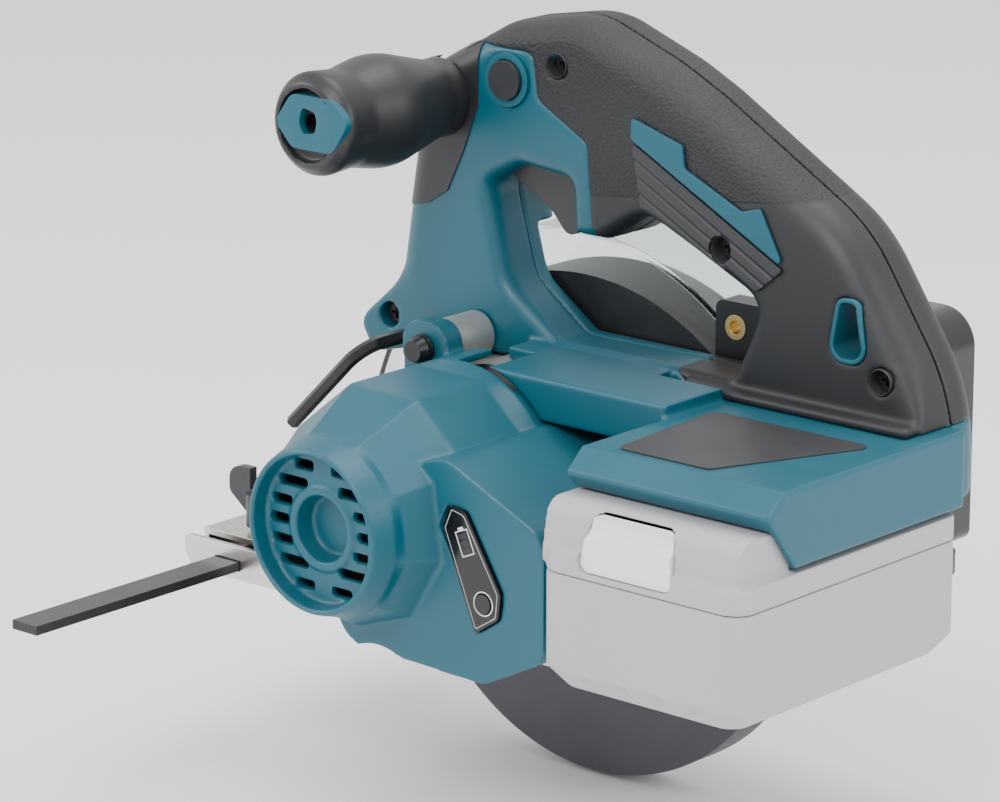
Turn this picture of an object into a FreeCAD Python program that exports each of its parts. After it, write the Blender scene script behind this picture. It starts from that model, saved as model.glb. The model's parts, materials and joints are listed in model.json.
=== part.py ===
import FreeCAD, Part
import math
import os
import re
from FreeCAD import Placement, Rotation, Vector

# Cordless metal-cutting circular saw. +X is the cutting direction, +Y the motor side, +Z up.
# The origin lies on the base's underside, in the handle's parting plane, below the spindle.

doc = FreeCAD.newDocument("circular_saw")
sheet = doc.addObject("Spreadsheet::Sheet", "Sheet")

SIZES = {
    # blade, spindle and gear train
    "blade_radius": 75, "blade_thickness": 1.6, "blade_bore": 10, "blade_y": -20, "blade_teeth": 32,
    "spindle_z": 17.5, "spindle_radius": 6, "motor_z": 48.5, "gear_module": 0.9,
    "spindle_teeth": 25, "layshaft_pinion_teeth": 13, "layshaft_teeth": 27, "motor_teeth": 10,
    "gear_width": 7, "gear_y": -1, "second_gear_y": 16,
    # blade guards
    "case_radius": 88, "case_wall": 2.5, "case_left": -7, "case_right": -33, "case_floor": 7,
    "guard_radius": 80, "guard_wall": 1.6, "guard_left": -12, "guard_right": -28,
    "guard_hub_radius": 22, "hub_bearing_radius": 20, "running_fit": 0.03,
    # handle and housing
    "handle_half": 16, "shell_wall": 2.6, "rubber_skin": 1.6, "deck_top": 88, "deck_left": 50,
    "holder_bottom": 60, "holder_top": 84, "holder_left": 102,
    "holder_front": -79.5, "holder_rear": -154.5, "parting_gap": 0.1,
    # motor
    "motor_radius": 40, "lip_radius": 25.5, "motor_end": 120, "motor_root": 34,     "stator_radius": 26, "rotor_radius": 13, "motor_shaft_radius": 2.5,
    # battery
    "battery_length": 107, "battery_bottom": 15.5, "battery_seam": 51,
    "battery_shoulder": 58.5, "battery_tower": 71.5, "battery_face": 107.5, "cell_radius": 9.1,
    # base
    "base_front": 116, "base_rear": -104, "base_left": 58, "base_right": -62, "base_plate": 2.5,
    "flange_height": 11, "pivot_x": 108, "pivot_z": 14, "pivot_radius": 4, "bolt_x": -68, "bolt_z": 16,
    "depth_angle": 20, "rule_width": 11, "rule_thickness": 3, "rule_x": 96.5, "rule_z": 3.2,
    # hand parts
    "grip_x": 40, "grip_z": 161, "grip_radius": 17.5, "grip_end": 78, "lock_x": 12, "lock_z": 170,
    "lock_radius": 6.2, "trigger_pivot_x": 17, "trigger_pivot_z": 147, "screw_radius": 2, "head_radius": 3.6,
    "key_size": 4,
}
for row, (alias, number) in enumerate(SIZES.items(), start=1):
    sheet.set(f"A{row}", alias)
    sheet.set(f"B{row}", str(number))
    sheet.setAlias(f"B{row}", alias)
doc.recompute()


def size(alias):
    """A driving size, read from the sheet."""
    return float(sheet.get(alias))


def formula(text):
    """An expression over the sheet's cells, from a formula that names them plainly."""
    return re.sub(r"[a-z_]+[a-z0-9_]*", lambda word: f"Sheet.{word[0]}" if word[0] in SIZES else word[0],
                  str(text))


def bind(thing, **properties):
    """Tie properties to formulas; a double underscore stands for a dot."""
    for name, text in properties.items():
        thing.setExpression(name.replace("__", "."), formula(text))


def place(thing, x, y, z):
    bind(thing, Placement__Base__x=x, Placement__Base__y=y, Placement__Base__z=z)
    return thing


def box(name, x, y, z):
    """A block between the two formulas given for each axis."""
    thing = doc.addObject("Part::Box", name)
    bind(thing, Length=f"({x[1]}) - ({x[0]})", Width=f"({y[1]}) - ({y[0]})", Height=f"({z[1]}) - ({z[0]})")
    return place(thing, x[0], y[0], z[0])


TURNS = {
    "X": Rotation(Vector(0, 1, 0), 90),
    "Y": Rotation(Vector(1, 0, 0), -90),
    "Z": Rotation(),
}


def rod(name, axis, x, y, z, radius, length):
    """A round bar that starts at x, y, z and runs along an axis."""
    thing = doc.addObject("Part::Cylinder", name)
    thing.Placement = Placement(Vector(), TURNS[axis])
    bind(thing, Radius=radius, Height=length)
    return place(thing, x, y, z)


def taper(name, axis, x, y, z, radius1, radius2, length):
    """A cone that starts at x, y, z with radius1."""
    thing = doc.addObject("Part::Cone", name)
    thing.Placement = Placement(Vector(), TURNS[axis])
    bind(thing, Radius1=radius1, Radius2=radius2, Height=length)
    return place(thing, x, y, z)


def tube(name, axis, x, y, z, outer, inner, length):
    """A ring or bush."""
    return cut(name, rod(name + "_outer", axis, x, y, z, outer, length),
               rod(name + "_bore", axis, x, y, z, inner, length))


def fuse(name, *parts):
    if len(parts) == 1:
        return parts[0]
    thing = doc.addObject("Part::MultiFuse", name)
    thing.Shapes = list(parts)
    return thing


def cut(name, base, *tools):
    thing = doc.addObject("Part::Cut", name)
    thing.Base = base
    thing.Tool = fuse(name + "_tools", *tools)
    return thing


def common(name, first, second):
    thing = doc.addObject("Part::Common", name)
    thing.Base = first
    thing.Tool = second
    return thing


def round_edges(name, base, radius, chosen):
    """Fillet the edges for which chosen(edge) holds."""
    doc.recompute()
    thing = doc.addObject("Part::Fillet", name)
    thing.Base = base
    thing.Edges = [(i, radius, radius) for i, edge in enumerate(base.Shape.Edges, start=1) if chosen(edge)]
    return thing


def along(axis):
    """A test for straight edges that run along an axis."""
    def test(edge):
        if edge.Curve.TypeId != "Part::GeomLine":
            return False
        return abs(abs(edge.Curve.Direction.dot(axis)) - 1) < 1e-6
    return test


def corner_arc(before, corner, after, radius):
    """Where a corner's round starts, its middle and where it ends."""
    into = (before - corner).normalize()
    out = (after - corner).normalize()
    half = into.getAngle(out) / 2
    reach = radius / math.tan(half)
    centre = corner + (into + out).normalize() * (radius / math.sin(half))
    middle = centre + (corner - centre).normalize() * radius
    return corner + into * reach, middle, corner + out * reach


def outline(corners):
    """Lines and arcs of a closed loop of corners, each (across, up, radius)."""
    points = [Vector(a, b, 0) for a, b, _ in corners]
    count = len(points)
    rounds = []
    for i, (_, _, radius) in enumerate(corners):
        if radius:
            rounds.append(corner_arc(points[i - 1], points[i], points[(i + 1) % count], radius))
        else:
            rounds.append((points[i], None, points[i]))
    edges = []
    for i, (start, middle, end) in enumerate(rounds):
        if middle:
            edges.append(Part.Arc(start, middle, end))
        edges.append(Part.LineSegment(end, rounds[(i + 1) % count][0]))
    return edges


def inset(corners, wall):
    """The loop moved inwards by a wall; corners run anticlockwise."""
    count = len(corners)
    points = [Vector(a, b, 0) for a, b, _ in corners]
    moved = []
    for i, (_, _, radius) in enumerate(corners):
        into = (points[i] - points[i - 1]).normalize()
        out = (points[(i + 1) % count] - points[i]).normalize()
        turn = into.cross(out).z
        normal_in = Vector(-into.y, into.x, 0)
        normal_out = Vector(-out.y, out.x, 0)
        shift = (normal_in + normal_out) * (wall / (1 + normal_in.dot(normal_out)))
        inner = max(radius - wall if turn > 0 else radius + wall, 0)
        moved.append((points[i].x + shift.x, points[i].y + shift.y, inner))
    return moved


PLANES = {"XZ": ("XZ_Plane", -1), "XY": ("XY_Plane", 1), "YZ": ("YZ_Plane", 1)}


def sketch_on(body, plane, level, name):
    """A sketch on one of the body's own planes, at a level given by a formula."""
    role, sign = PLANES[plane]
    drawing = body.newObject("Sketcher::SketchObject", name)
    support = next(f for f in body.Origin.OriginFeatures if f.Role == role)
    drawing.AttachmentSupport = [(support, "")]
    drawing.MapMode = "FlatFace"
    bind(drawing, AttachmentOffset__Base__z=f"{sign} * ({level})")
    return drawing


def profile(name, plane, loops, low, high):
    """A body padded from loops on a plane, between two levels across it."""
    body = doc.addObject("PartDesign::Body", name)
    start = high if plane == "XZ" else low
    drawing = sketch_on(body, plane, start, name + "_sketch")
    for loop in loops:
        for edge in outline(loop):
            drawing.addGeometry(edge, False)
    pad = body.newObject("PartDesign::Pad", name + "_pad")
    pad.Profile = drawing
    bind(pad, Length=f"({high}) - ({low})")
    return body


def turned(name, points, x, z):
    """A body turned about an axis along Y; points are (radius, level, corner radius)."""
    body = doc.addObject("PartDesign::Body", name)
    drawing = sketch_on(body, "XY", "0", name + "_sketch")
    for edge in outline(points):
        drawing.addGeometry(edge, False)
    spin = body.newObject("PartDesign::Revolution", name + "_turn")
    spin.Profile = drawing
    spin.ReferenceAxis = (drawing, ["V_Axis"])
    spin.Angle = 360
    return place(body, x, "0", z)


def toothed(name, teeth, tip, root, width, level, gap_root, gap_tip, lean, x, z, turn, bore):
    """A disc with tooth gaps cut around its rim, turned so that a gap points at an angle."""
    body = doc.addObject("PartDesign::Body", name)
    drawing = sketch_on(body, "XZ", f"({level}) + ({width})", name + "_disc")
    drawing.addGeometry(Part.Circle(Vector(), Vector(0, 0, 1), tip), False)
    if bore:
        drawing.addGeometry(Part.Circle(Vector(), Vector(0, 0, 1), bore), False)
    pad = body.newObject("PartDesign::Pad", name + "_pad")
    pad.Profile = drawing
    bind(pad, Length=width)
    notch = sketch_on(body, "XZ", f"({level}) + ({width})", name + "_notch")
    beyond = tip + 1
    gap = [(root, -gap_root / 2, 0), (beyond, -gap_tip / 2 + lean, 0),
           (beyond, gap_tip / 2 + lean, 0), (root, gap_root / 2, 0)]
    for edge in outline(gap):
        notch.addGeometry(edge, False)
    doc.recompute()
    whole = pad.Shape.Volume
    pocket = body.newObject("PartDesign::Pocket", name + "_gap")
    pocket.Profile = notch
    pocket.Type = "ThroughAll"
    pocket.Midplane = True
    doc.recompute()
    if pocket.Shape.Volume >= whole:
        raise RuntimeError(name + ": the tooth gap cuts nothing")
    ring = body.newObject("PartDesign::PolarPattern", name + "_ring")
    ring.Originals = [pocket]
    ring.Axis = (notch, ["N_Axis"])
    ring.Angle = 360
    bind(ring, Occurrences=teeth)
    body.Tip = ring
    body.Placement = Placement(Vector(), Rotation(Vector(0, -1, 0), turn))
    return place(body, x, "0", z)


NODES = []


def node(name, thing):
    """Name a finished sub-part."""
    thing.Label = name
    NODES.append(thing)
    return thing


# ---------------------------------------------------------------- gear train geometry
MODULE = size("gear_module")
SPINDLE = Vector(0, 0, size("spindle_z"))
MOTOR = Vector(0, 0, size("motor_z"))


def pitch_radius(alias):
    return size(alias) * MODULE / 2


def layshaft_axis():
    """The layshaft lies where both pairs of gears mesh, ahead of the spindle and motor."""
    low = pitch_radius("spindle_teeth") + pitch_radius("layshaft_pinion_teeth")
    high = pitch_radius("layshaft_teeth") + pitch_radius("motor_teeth")
    apart = MOTOR.z - SPINDLE.z
    rise = (low ** 2 - high ** 2 + apart ** 2) / (2 * apart)
    return Vector(math.sqrt(low ** 2 - rise ** 2), 0, SPINDLE.z + rise)


LAYSHAFT = layshaft_axis()


def bearing_to(start, end):
    """The direction from one axis to another, in degrees from +X towards +Z."""
    return math.degrees(math.atan2(end.z - start.z, end.x - start.x))


def gear(name, teeth_alias, axis, facing, tooth_there, level, width, bore):
    """A spur gear with a gap, or a tooth, that faces a direction."""
    teeth = size(teeth_alias)
    radius = pitch_radius(teeth_alias)
    pitch = math.pi * MODULE
    turn = facing + (180 / teeth if tooth_there else 0)
    return toothed(name, teeth_alias, radius + 0.75 * MODULE, radius - 1.25 * MODULE, width, level,
                   0.42 * pitch, 0.92 * pitch, 0, str(axis.x), str(axis.z), turn, bore)


# ---------------------------------------------------------------- blade group
def blade_group():
    tooth = 2 * math.pi * size("blade_radius") / size("blade_teeth")
    plate = toothed("blade_plate", "blade_teeth", size("blade_radius"), size("blade_radius") - 5,
                    "blade_thickness", "blade_y - blade_thickness / 2", tooth * 0.16, tooth * 0.62,
                    tooth * 0.2, "0", "spindle_z", 0, size("blade_bore"))
    slots = []
    for quarter in range(4):
        slot = box(f"blade_slot_{quarter}", ("62", "71"), ("-30", "-10"), ("-0.4", "0.4"))
        relief = rod(f"blade_relief_{quarter}", "Y", "62", "-30", "0", "1.5", "20")
        pair = fuse(f"blade_expansion_{quarter}", slot, relief)
        angle = 45 + 90 * quarter
        pair.Placement = Placement(Vector(), Rotation(Vector(0, -1, 0), angle))
        slots.append(place(pair, "0", "0", "spindle_z"))
    node("saw_blade", cut("blade_cut", plate, *slots))

    inner = [(size("spindle_radius"), -19.2, 0), (15, -19.2, 0.6), (17, -17.5, 0.6), (17, -15, 0.6),
             (size("spindle_radius"), -15, 0)]
    node("inner_flange", turned("inner_flange_body", inner, "0", "spindle_z"))
    outer = [(0, -24.4, 0), (9, -24.4, 0.4), (17, -22.4, 0.6), (17, -20.8, 0), (0, -20.8, 0)]
    socket = rod("bolt_way", "Y", "0", "-30", "spindle_z", "4", "12")
    node("outer_flange", cut("outer_flange_cut", turned("outer_flange_disc", outer, "0", "spindle_z"), socket))

    spindle = [(0, -20.8, 0), (9.95, -20.8, 0), (9.95, -19.2, 0), (6, -19.2, 0), (6, -1, 0), (5, -1, 0),
               (5, 14, 0.5), (0, 14, 0)]
    thread = rod("spindle_thread", "Y", "0", "-21", "spindle_z", "4", "14")
    node("spindle", cut("spindle_cut", turned("spindle_turned", spindle, "0", "spindle_z"), thread))
    bolt = fuse("blade_bolt_blank", rod("bolt_shank", "Y", "0", "-24.4", "spindle_z", "4", "16"),
                rod("bolt_washer", "Y", "0", "-26", "spindle_z", "8", "1.6"),
                rod("bolt_head", "Y", "0", "-31", "spindle_z", "6.5", "5"))
    hexagon = doc.addObject("Part::Prism", "bolt_socket")
    hexagon.Polygon = 6
    hexagon.Placement = Placement(Vector(), TURNS["Y"])
    bind(hexagon, Circumradius="key_size / sqrt(3) + 0.1", Height="4")
    place(hexagon, "0", "-31.5", "spindle_z")
    node("blade_bolt", cut("blade_bolt_cut", bolt, hexagon))
    node("spindle_gear", gear("spindle_gear_body", "spindle_teeth", SPINDLE, bearing_to(SPINDLE, LAYSHAFT),
                              False, "gear_y", "gear_width", 5))


def gear_train():
    x, z = str(LAYSHAFT.x), str(LAYSHAFT.z)
    pinion = gear("layshaft_pinion_body", "layshaft_pinion_teeth", LAYSHAFT, bearing_to(LAYSHAFT, SPINDLE),
                  True, "gear_y", "gear_width + 0.6", 0)
    shaft = fuse("layshaft_blank", pinion, rod("layshaft_rod", "Y", x, "-5", z, "3", "32"))
    node("layshaft", shaft)
    node("layshaft_gear", gear("layshaft_gear_body", "layshaft_teeth", LAYSHAFT, bearing_to(LAYSHAFT, MOTOR),
                               False, "second_gear_y", "gear_width - 1", 3))
    pinion = gear("motor_pinion_body", "motor_teeth", MOTOR, bearing_to(MOTOR, LAYSHAFT),
                  True, "second_gear_y", "gear_width", 0)
    shaft = rod("motor_shaft_rod", "Y", "0", "second_gear_y + gear_width", "motor_z",
                "motor_shaft_radius", "74")
    node("motor_shaft", fuse("motor_shaft_blank", pinion, shaft))
    node("rotor_magnets", tube("rotor_ring", "Y", "0", "54", "motor_z", "rotor_radius",
                               "motor_shaft_radius", "32"))
    blades = [fan_vane(number) for number in range(9)]
    hub = tube("fan_hub", "Y", "0", "41", "motor_z", "11", "motor_shaft_radius", "8")
    disc = tube("fan_disc", "Y", "0", "41", "motor_z", "28", "10", "1.5")
    node("cooling_fan", fuse("fan_whole", hub, disc, *blades))


def fan_vane(number):
    """One straight vane of the fan."""
    angle = math.radians(40 * number)
    blade = doc.addObject("Part::Box", f"vane_{number}")
    bind(blade, Length="18", Width="6", Height="1.5")
    turn = Rotation(Vector(0, -1, 0), math.degrees(angle))
    centre = Vector(10 * math.cos(angle), 0, 10 * math.sin(angle))
    blade.Placement = Placement(centre, turn)
    bind(blade, Placement__Base__y="42.5", Placement__Base__z=f"motor_z + {centre.z}")
    return blade


# ---------------------------------------------------------------- gear housing, guards and case
def gear_housing():
    x, z = str(LAYSHAFT.x), str(LAYSHAFT.z)
    shell = fuse("gear_case_blank",
                 rod("gear_case_spindle", "Y", "0", "-3", "spindle_z", "14", "19"),
                 rod("gear_case_lay", "Y", x, "-3", z, "17.5", "33"),
                 rod("gear_case_motor", "Y", "0", "8", "motor_z", "35", "26"),
                 box("gear_case_arm", ("20", "50"), ("1", "13"), ("26", "46")),
                 pivot_arm(),
                 box("gear_case_top", ("-30", "36"), ("2", "26"), ("60", "80")),
                 rod("gear_case_lug", "Y", "24", "17", "86.5", "7.6", "16.9"))
    hollow = fuse("gear_case_hollow",
                  rod("room_spindle", "Y", "0", "-3", "spindle_z", "12.4", "11"),
                  rod("seat_spindle", "Y", "0", "8", "spindle_z", "9.5", "6.5"),
                  rod("room_lay", "Y", x, "-3", z, "7.2", "18.5"),
                  rod("room_lay_gear", "Y", x, "15.4", z, "13.4", "8.2"),
                  rod("seat_lay", "Y", x, "23", z, "6.5", "5"),
                  rod("room_motor", "Y", "0", "15.4", "motor_z", "6.2", "14"),
                  rod("seat_motor", "Y", "0", "28", "motor_z", "11", "7"),
                  rod("lug_way", "Y", "24", "23", "86.5", "2.02", "12"))
    node("gear_housing", cut("gear_case", shell, hollow))

    cover = fuse("bearing_box_blank",
                 rod("box_hub", "Y", "0", "-14.8", "spindle_z", "hub_bearing_radius", "3.8"),
                 rod("box_shoulder", "Y", "0", "-11", "spindle_z", "23.5", "4"),
                 rod("box_plug", "Y", "0", "-7", "spindle_z", "14", "4"),
                 rod("box_lay", "Y", x, "-7", z, "17.5", "4"))
    hollow = fuse("bearing_box_hollow",
                  rod("box_way", "Y", "0", "-16", "spindle_z", "9", "4"),
                  rod("box_seat", "Y", "0", "-12", "spindle_z", "12", "9.5"),
                  rod("box_lay_seat", "Y", x, "-6.5", z, "5", "4"))
    node("bearing_box", cut("bearing_box_cut", cover, hollow))
    node("bearings", fuse("bearing_set",
                          tube("bearing_spindle", "Y", "0", "-12", "spindle_z", "12", "6 + running_fit", "8"),
                          tube("bearing_spindle_end", "Y", "0", "8", "spindle_z", "9.5", "5 + running_fit", "5"),
                          tube("bearing_lay", "Y", x, "-6.5", z, "5", "3 + running_fit", "3.5"),
                          tube("bearing_lay_end", "Y", x, "23", z, "6.5", "3 + running_fit", "4"),
                          tube("bearing_motor", "Y", "0", "28", "motor_z", "11",
                               "motor_shaft_radius + running_fit", "6"),
                          tube("bearing_motor_end", "Y", "0", "90", "motor_z", "8",
                               "motor_shaft_radius + running_fit", "5")))


def pivot_arm():
    """The aluminium arm that carries the base's front pivot."""
    rise = size("motor_z")
    pivot = (size("pivot_x"), size("pivot_z"))
    arm = profile("gear_case_pivot_arm", "XZ",
                  [[(30, rise - 24, 0), (88, 12, 6), (pivot[0] + 7.5, pivot[1] - 8, 7), (pivot[0] + 7.5,
                                                                                         pivot[1] + 8, 7),
                    (80, 34, 20), (30, rise + 4, 0)]], "0.6", "13.4")
    return cut("pivot_arm_bored", arm, rod("pivot_arm_hole", "Y", "pivot_x", "-5", "pivot_z",
                                           "pivot_radius", "30"))


def lower_guard():
    """A half-round cover that hangs below the spindle and turns about the bearing box."""
    full = rod("guard_full", "Y", "0", "guard_right", "spindle_z", "guard_radius", "guard_left - guard_right")
    room = rod("guard_room", "Y", "0", "guard_right + guard_wall", "spindle_z", "guard_radius - guard_wall",
               "guard_left - guard_right - 2 * guard_wall")
    upper = box("guard_upper", ("-90", "90"), ("-40", "0"), ("spindle_z - 3", "110"))
    shell = cut("guard_shell", full, room, upper)
    hub = rod("guard_hub", "Y", "0", "guard_left - guard_wall", "spindle_z", "guard_hub_radius + 2", "guard_wall")
    web = box("guard_web", ("-22", "22"), ("guard_left - guard_wall", "guard_left"),
              ("spindle_z - 24", "spindle_z - 3"))
    bore = rod("guard_bore", "Y", "0", "-40", "spindle_z", "hub_bearing_radius + 0.06", "40")
    window = rod("guard_window", "Y", "0", "-40", "spindle_z", "34", "40 + guard_left - guard_wall - 0.2")
    node("lower_guard", cut("guard_cut", fuse("guard_blank", shell, hub, web), bore, window))
    stem = profile("guard_lever_plate", "XZ",
                   [[(-63, 4, 3), (-36, 4, 3), (-36, 12.5, 3), (-63, 12.5, 3)]], "-30.6", "guard_right")
    knob = rod("guard_lever_knob", "Y", "-58.5", "-50", "8.2", "4", "20")
    node("guard_lever", fuse("guard_lever_whole", stem, knob))
    node("guard_circlip", tube("circlip_ring", "Y", "0", "-14.5", "spindle_z", "21.6",
                               "hub_bearing_radius", "0.8"))
    spring = doc.addObject("Part::Torus", "guard_spring_turn")
    spring.Placement = Placement(Vector(), TURNS["Y"])
    bind(spring, Radius1="22", Radius2="0.4")
    node("guard_spring", place(spring, "0", "-11.5", "spindle_z"))


def blade_case():
    """The fixed upper cover: a left wall, a rim and the ring of a right wall."""
    full = rod("case_full", "Y", "0", "case_right", "spindle_z", "case_radius", "case_left - case_right")
    room = rod("case_room", "Y", "0", "case_right + 2", "spindle_z", "case_radius - case_wall",
               "case_left - case_right - 4")
    window = rod("case_window", "Y", "0", "-40", "spindle_z", "66", "10")
    below = box("case_below", ("-100", "100"), ("-50", "10"), ("-90", "case_floor"))
    hub = rod("case_hub_way", "Y", "0", "-15", "spindle_z", "23.5", "12")
    bolt_way = rod("case_bolt_way", "Y", "bolt_x", "-15", "bolt_z", "4", "12")
    body = cut("case_body", full, room, window, below, hub, bolt_way)
    lug = profile("case_lug", "XZ", [[(-73, 68, 2), (-53, 68, 2), (-53, 106, 3), (-73, 106, 3)]], "-16.8", "-8")
    lug = cut("case_lug_bored", lug, rod("lug_bore", "Y", "-61", "-20", "98", "4", "15"),
              rod("lug_room", "Y", "0", "-60", "spindle_z", "case_radius - 0.5", "60"))
    node("blade_case", fuse("case_whole", body, lug))
    node("brass_insert", tube("insert_ring", "Y", "-61", "-16.8", "98", "4", "2.1", "9.2"))

    outer = rod("cover_outer", "Y", "10", "-46", "24", "93", "28.8")
    inner = rod("cover_inner", "Y", "10", "-44", "24", "91", "34")
    case_way = rod("cover_case_way", "Y", "0", "case_right - 0.3", "spindle_z", "case_radius + 0.3", "40")
    centre_way = rod("cover_centre_way", "Y", "0", "-60", "spindle_z", "66", "50")
    below = box("cover_below", ("-120", "120"), ("-60", "0"), ("-90", "34"))
    rear = box("cover_rear", ("-120", "-52"), ("-60", "0"), ("0", "130"))
    node("dust_cover", cut("cover_cut", outer, inner, case_way, centre_way, below, rear))

    bin_outer = profile("dust_box_outer", "XZ", [[(-118, 30, 4), (-74, 30, 4), (-74, 104, 8), (-118, 104, 12)]],
                        "-55", "-17.5")
    bin_inner = profile("dust_box_inner", "XZ", [[(-116, 32, 3), (-76, 32, 3), (-76, 102, 7), (-116, 102, 10)]],
                        "-53", "-19.5")
    way = rod("dust_box_way", "Y", "0", "-70", "spindle_z", "case_radius + 0.4", "60")
    node("dust_box", cut("dust_box_cut", bin_outer, bin_inner, way))
    node("dust_box_knob", fuse("dust_knob_whole",
                               rod("dust_knob", "Z", "-110", "-47", "20", "7", "7"),
                               rod("dust_knob_stem", "Z", "-110", "-47", "27", "3", "2.8")))


# ---------------------------------------------------------------- handle and housing shells
HANDLE_OUTER = [(-150, 60.2, 2), (-55, 60.2, 2), (-55, 72, 3), (30, 82.3, 2), (71, 72, 5), (77, 82, 5),
                (62, 98, 20), (58, 122, 30), (50, 168, 10), (16, 190, 24), (-14, 196, 26), (-46, 182, 70),
                (-118, 140, 55), (-150, 92, 60)]
HANDLE_OPENING = [(-78, 89, 5), (-8, 89, 6), (13, 104, 14), (22, 136, 7), (8, 143, 6), (-13, 141, 4),
                  (-14, 124, 3), (-26, 124, 4), (-43, 135, 12), (-88, 114, 8)]
RUBBER_ZONE = [(-160, 84.1, 0), (-62, 84.1, 0), (-24, 112, 0), (-20, 154, 4), (0, 165, 4), (2, 181, 4),
               (24, 181, 4), (60, 173, 0), (60, 215, 0), (-160, 215, 0)]
STRAP_HOLE = [(-128, 103, 4), (-116, 103, 4), (-119, 120, 2), (-124, 120, 2)]


def half(side, near, far):
    """Levels across the parting plane for one side's half: left runs to +Y, right to -Y."""
    return (near, far) if side == "left" else (f"-({far})", f"-({near})")


def handle_parts(side):
    """The plastic half of the handle's loop and the rubber moulded over it."""
    whole = profile(side + "_loop", "XZ", [HANDLE_OUTER, HANDLE_OPENING],
                    *half(side, "parting_gap / 2", "handle_half"))
    face = size("handle_half") - 0.1
    whole = round_edges(side + "_loop_round", whole, 2.5,
                        lambda edge: min(abs(edge.BoundBox.YMin), abs(edge.BoundBox.YMax)) > face)
    zone = profile(side + "_zone", "XZ", [RUBBER_ZONE], *half(side, "-1", "handle_half + 1"))
    skin = size("rubber_skin")
    core = profile(side + "_core", "XZ", [inset(HANDLE_OUTER, skin), inset(HANDLE_OPENING, -skin)],
                   *half(side, "parting_gap / 2", "handle_half - rubber_skin"))
    strap = profile(side + "_strap", "XZ", [inset(STRAP_HOLE, -1.5)], *half(side, "-1", "handle_half + 1"))
    rubber = cut(side + "_rubber", common(side + "_rubber_blank", whole, zone), core, strap,
                 *grip_screw_ways(side))
    plastic = fuse(side + "_plastic", cut(side + "_bare", whole, zone), core)
    return rubber, plastic, strap


SCREWS = {"top": (-8, 177), "middle": (-74, 129), "rear": (-134, 98), "front": (63, 86)}


def grip_screw_ways(side):
    """Counterbores for the screws that close the handle; their heads sit in the left half."""
    if side == "right":
        return []
    return [rod(f"head_way_{side}_{name}", "Y", x, "9", z, "head_radius + 0.6", "12")
            for name, (x, z) in SCREWS.items()]


def shank_ways(side):
    """The bores that the screws' shanks run through."""
    return [rod(f"shank_way_{side}_{name}", "Y", x, "-12", z, "screw_radius", "30")
            for name, (x, z) in SCREWS.items()]


def screw_posts(side):
    """Solid posts inside the halves, around the screws."""
    low, length = ("0.05", "12.4") if side == "left" else ("-12.5", "12.45")
    if side == "right":
        return [rod(f"post_right_{name}", "Y", x, low if name != "front" else "-6.4", z, "4.2",
                    length if name != "front" else "6.35") for name, (x, z) in SCREWS.items()]
    return [rod(f"post_left_{name}", "Y", x, low, z, "6.4" if name == "rear" else "5.6", length)
            for name, (x, z) in SCREWS.items()]


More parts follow.
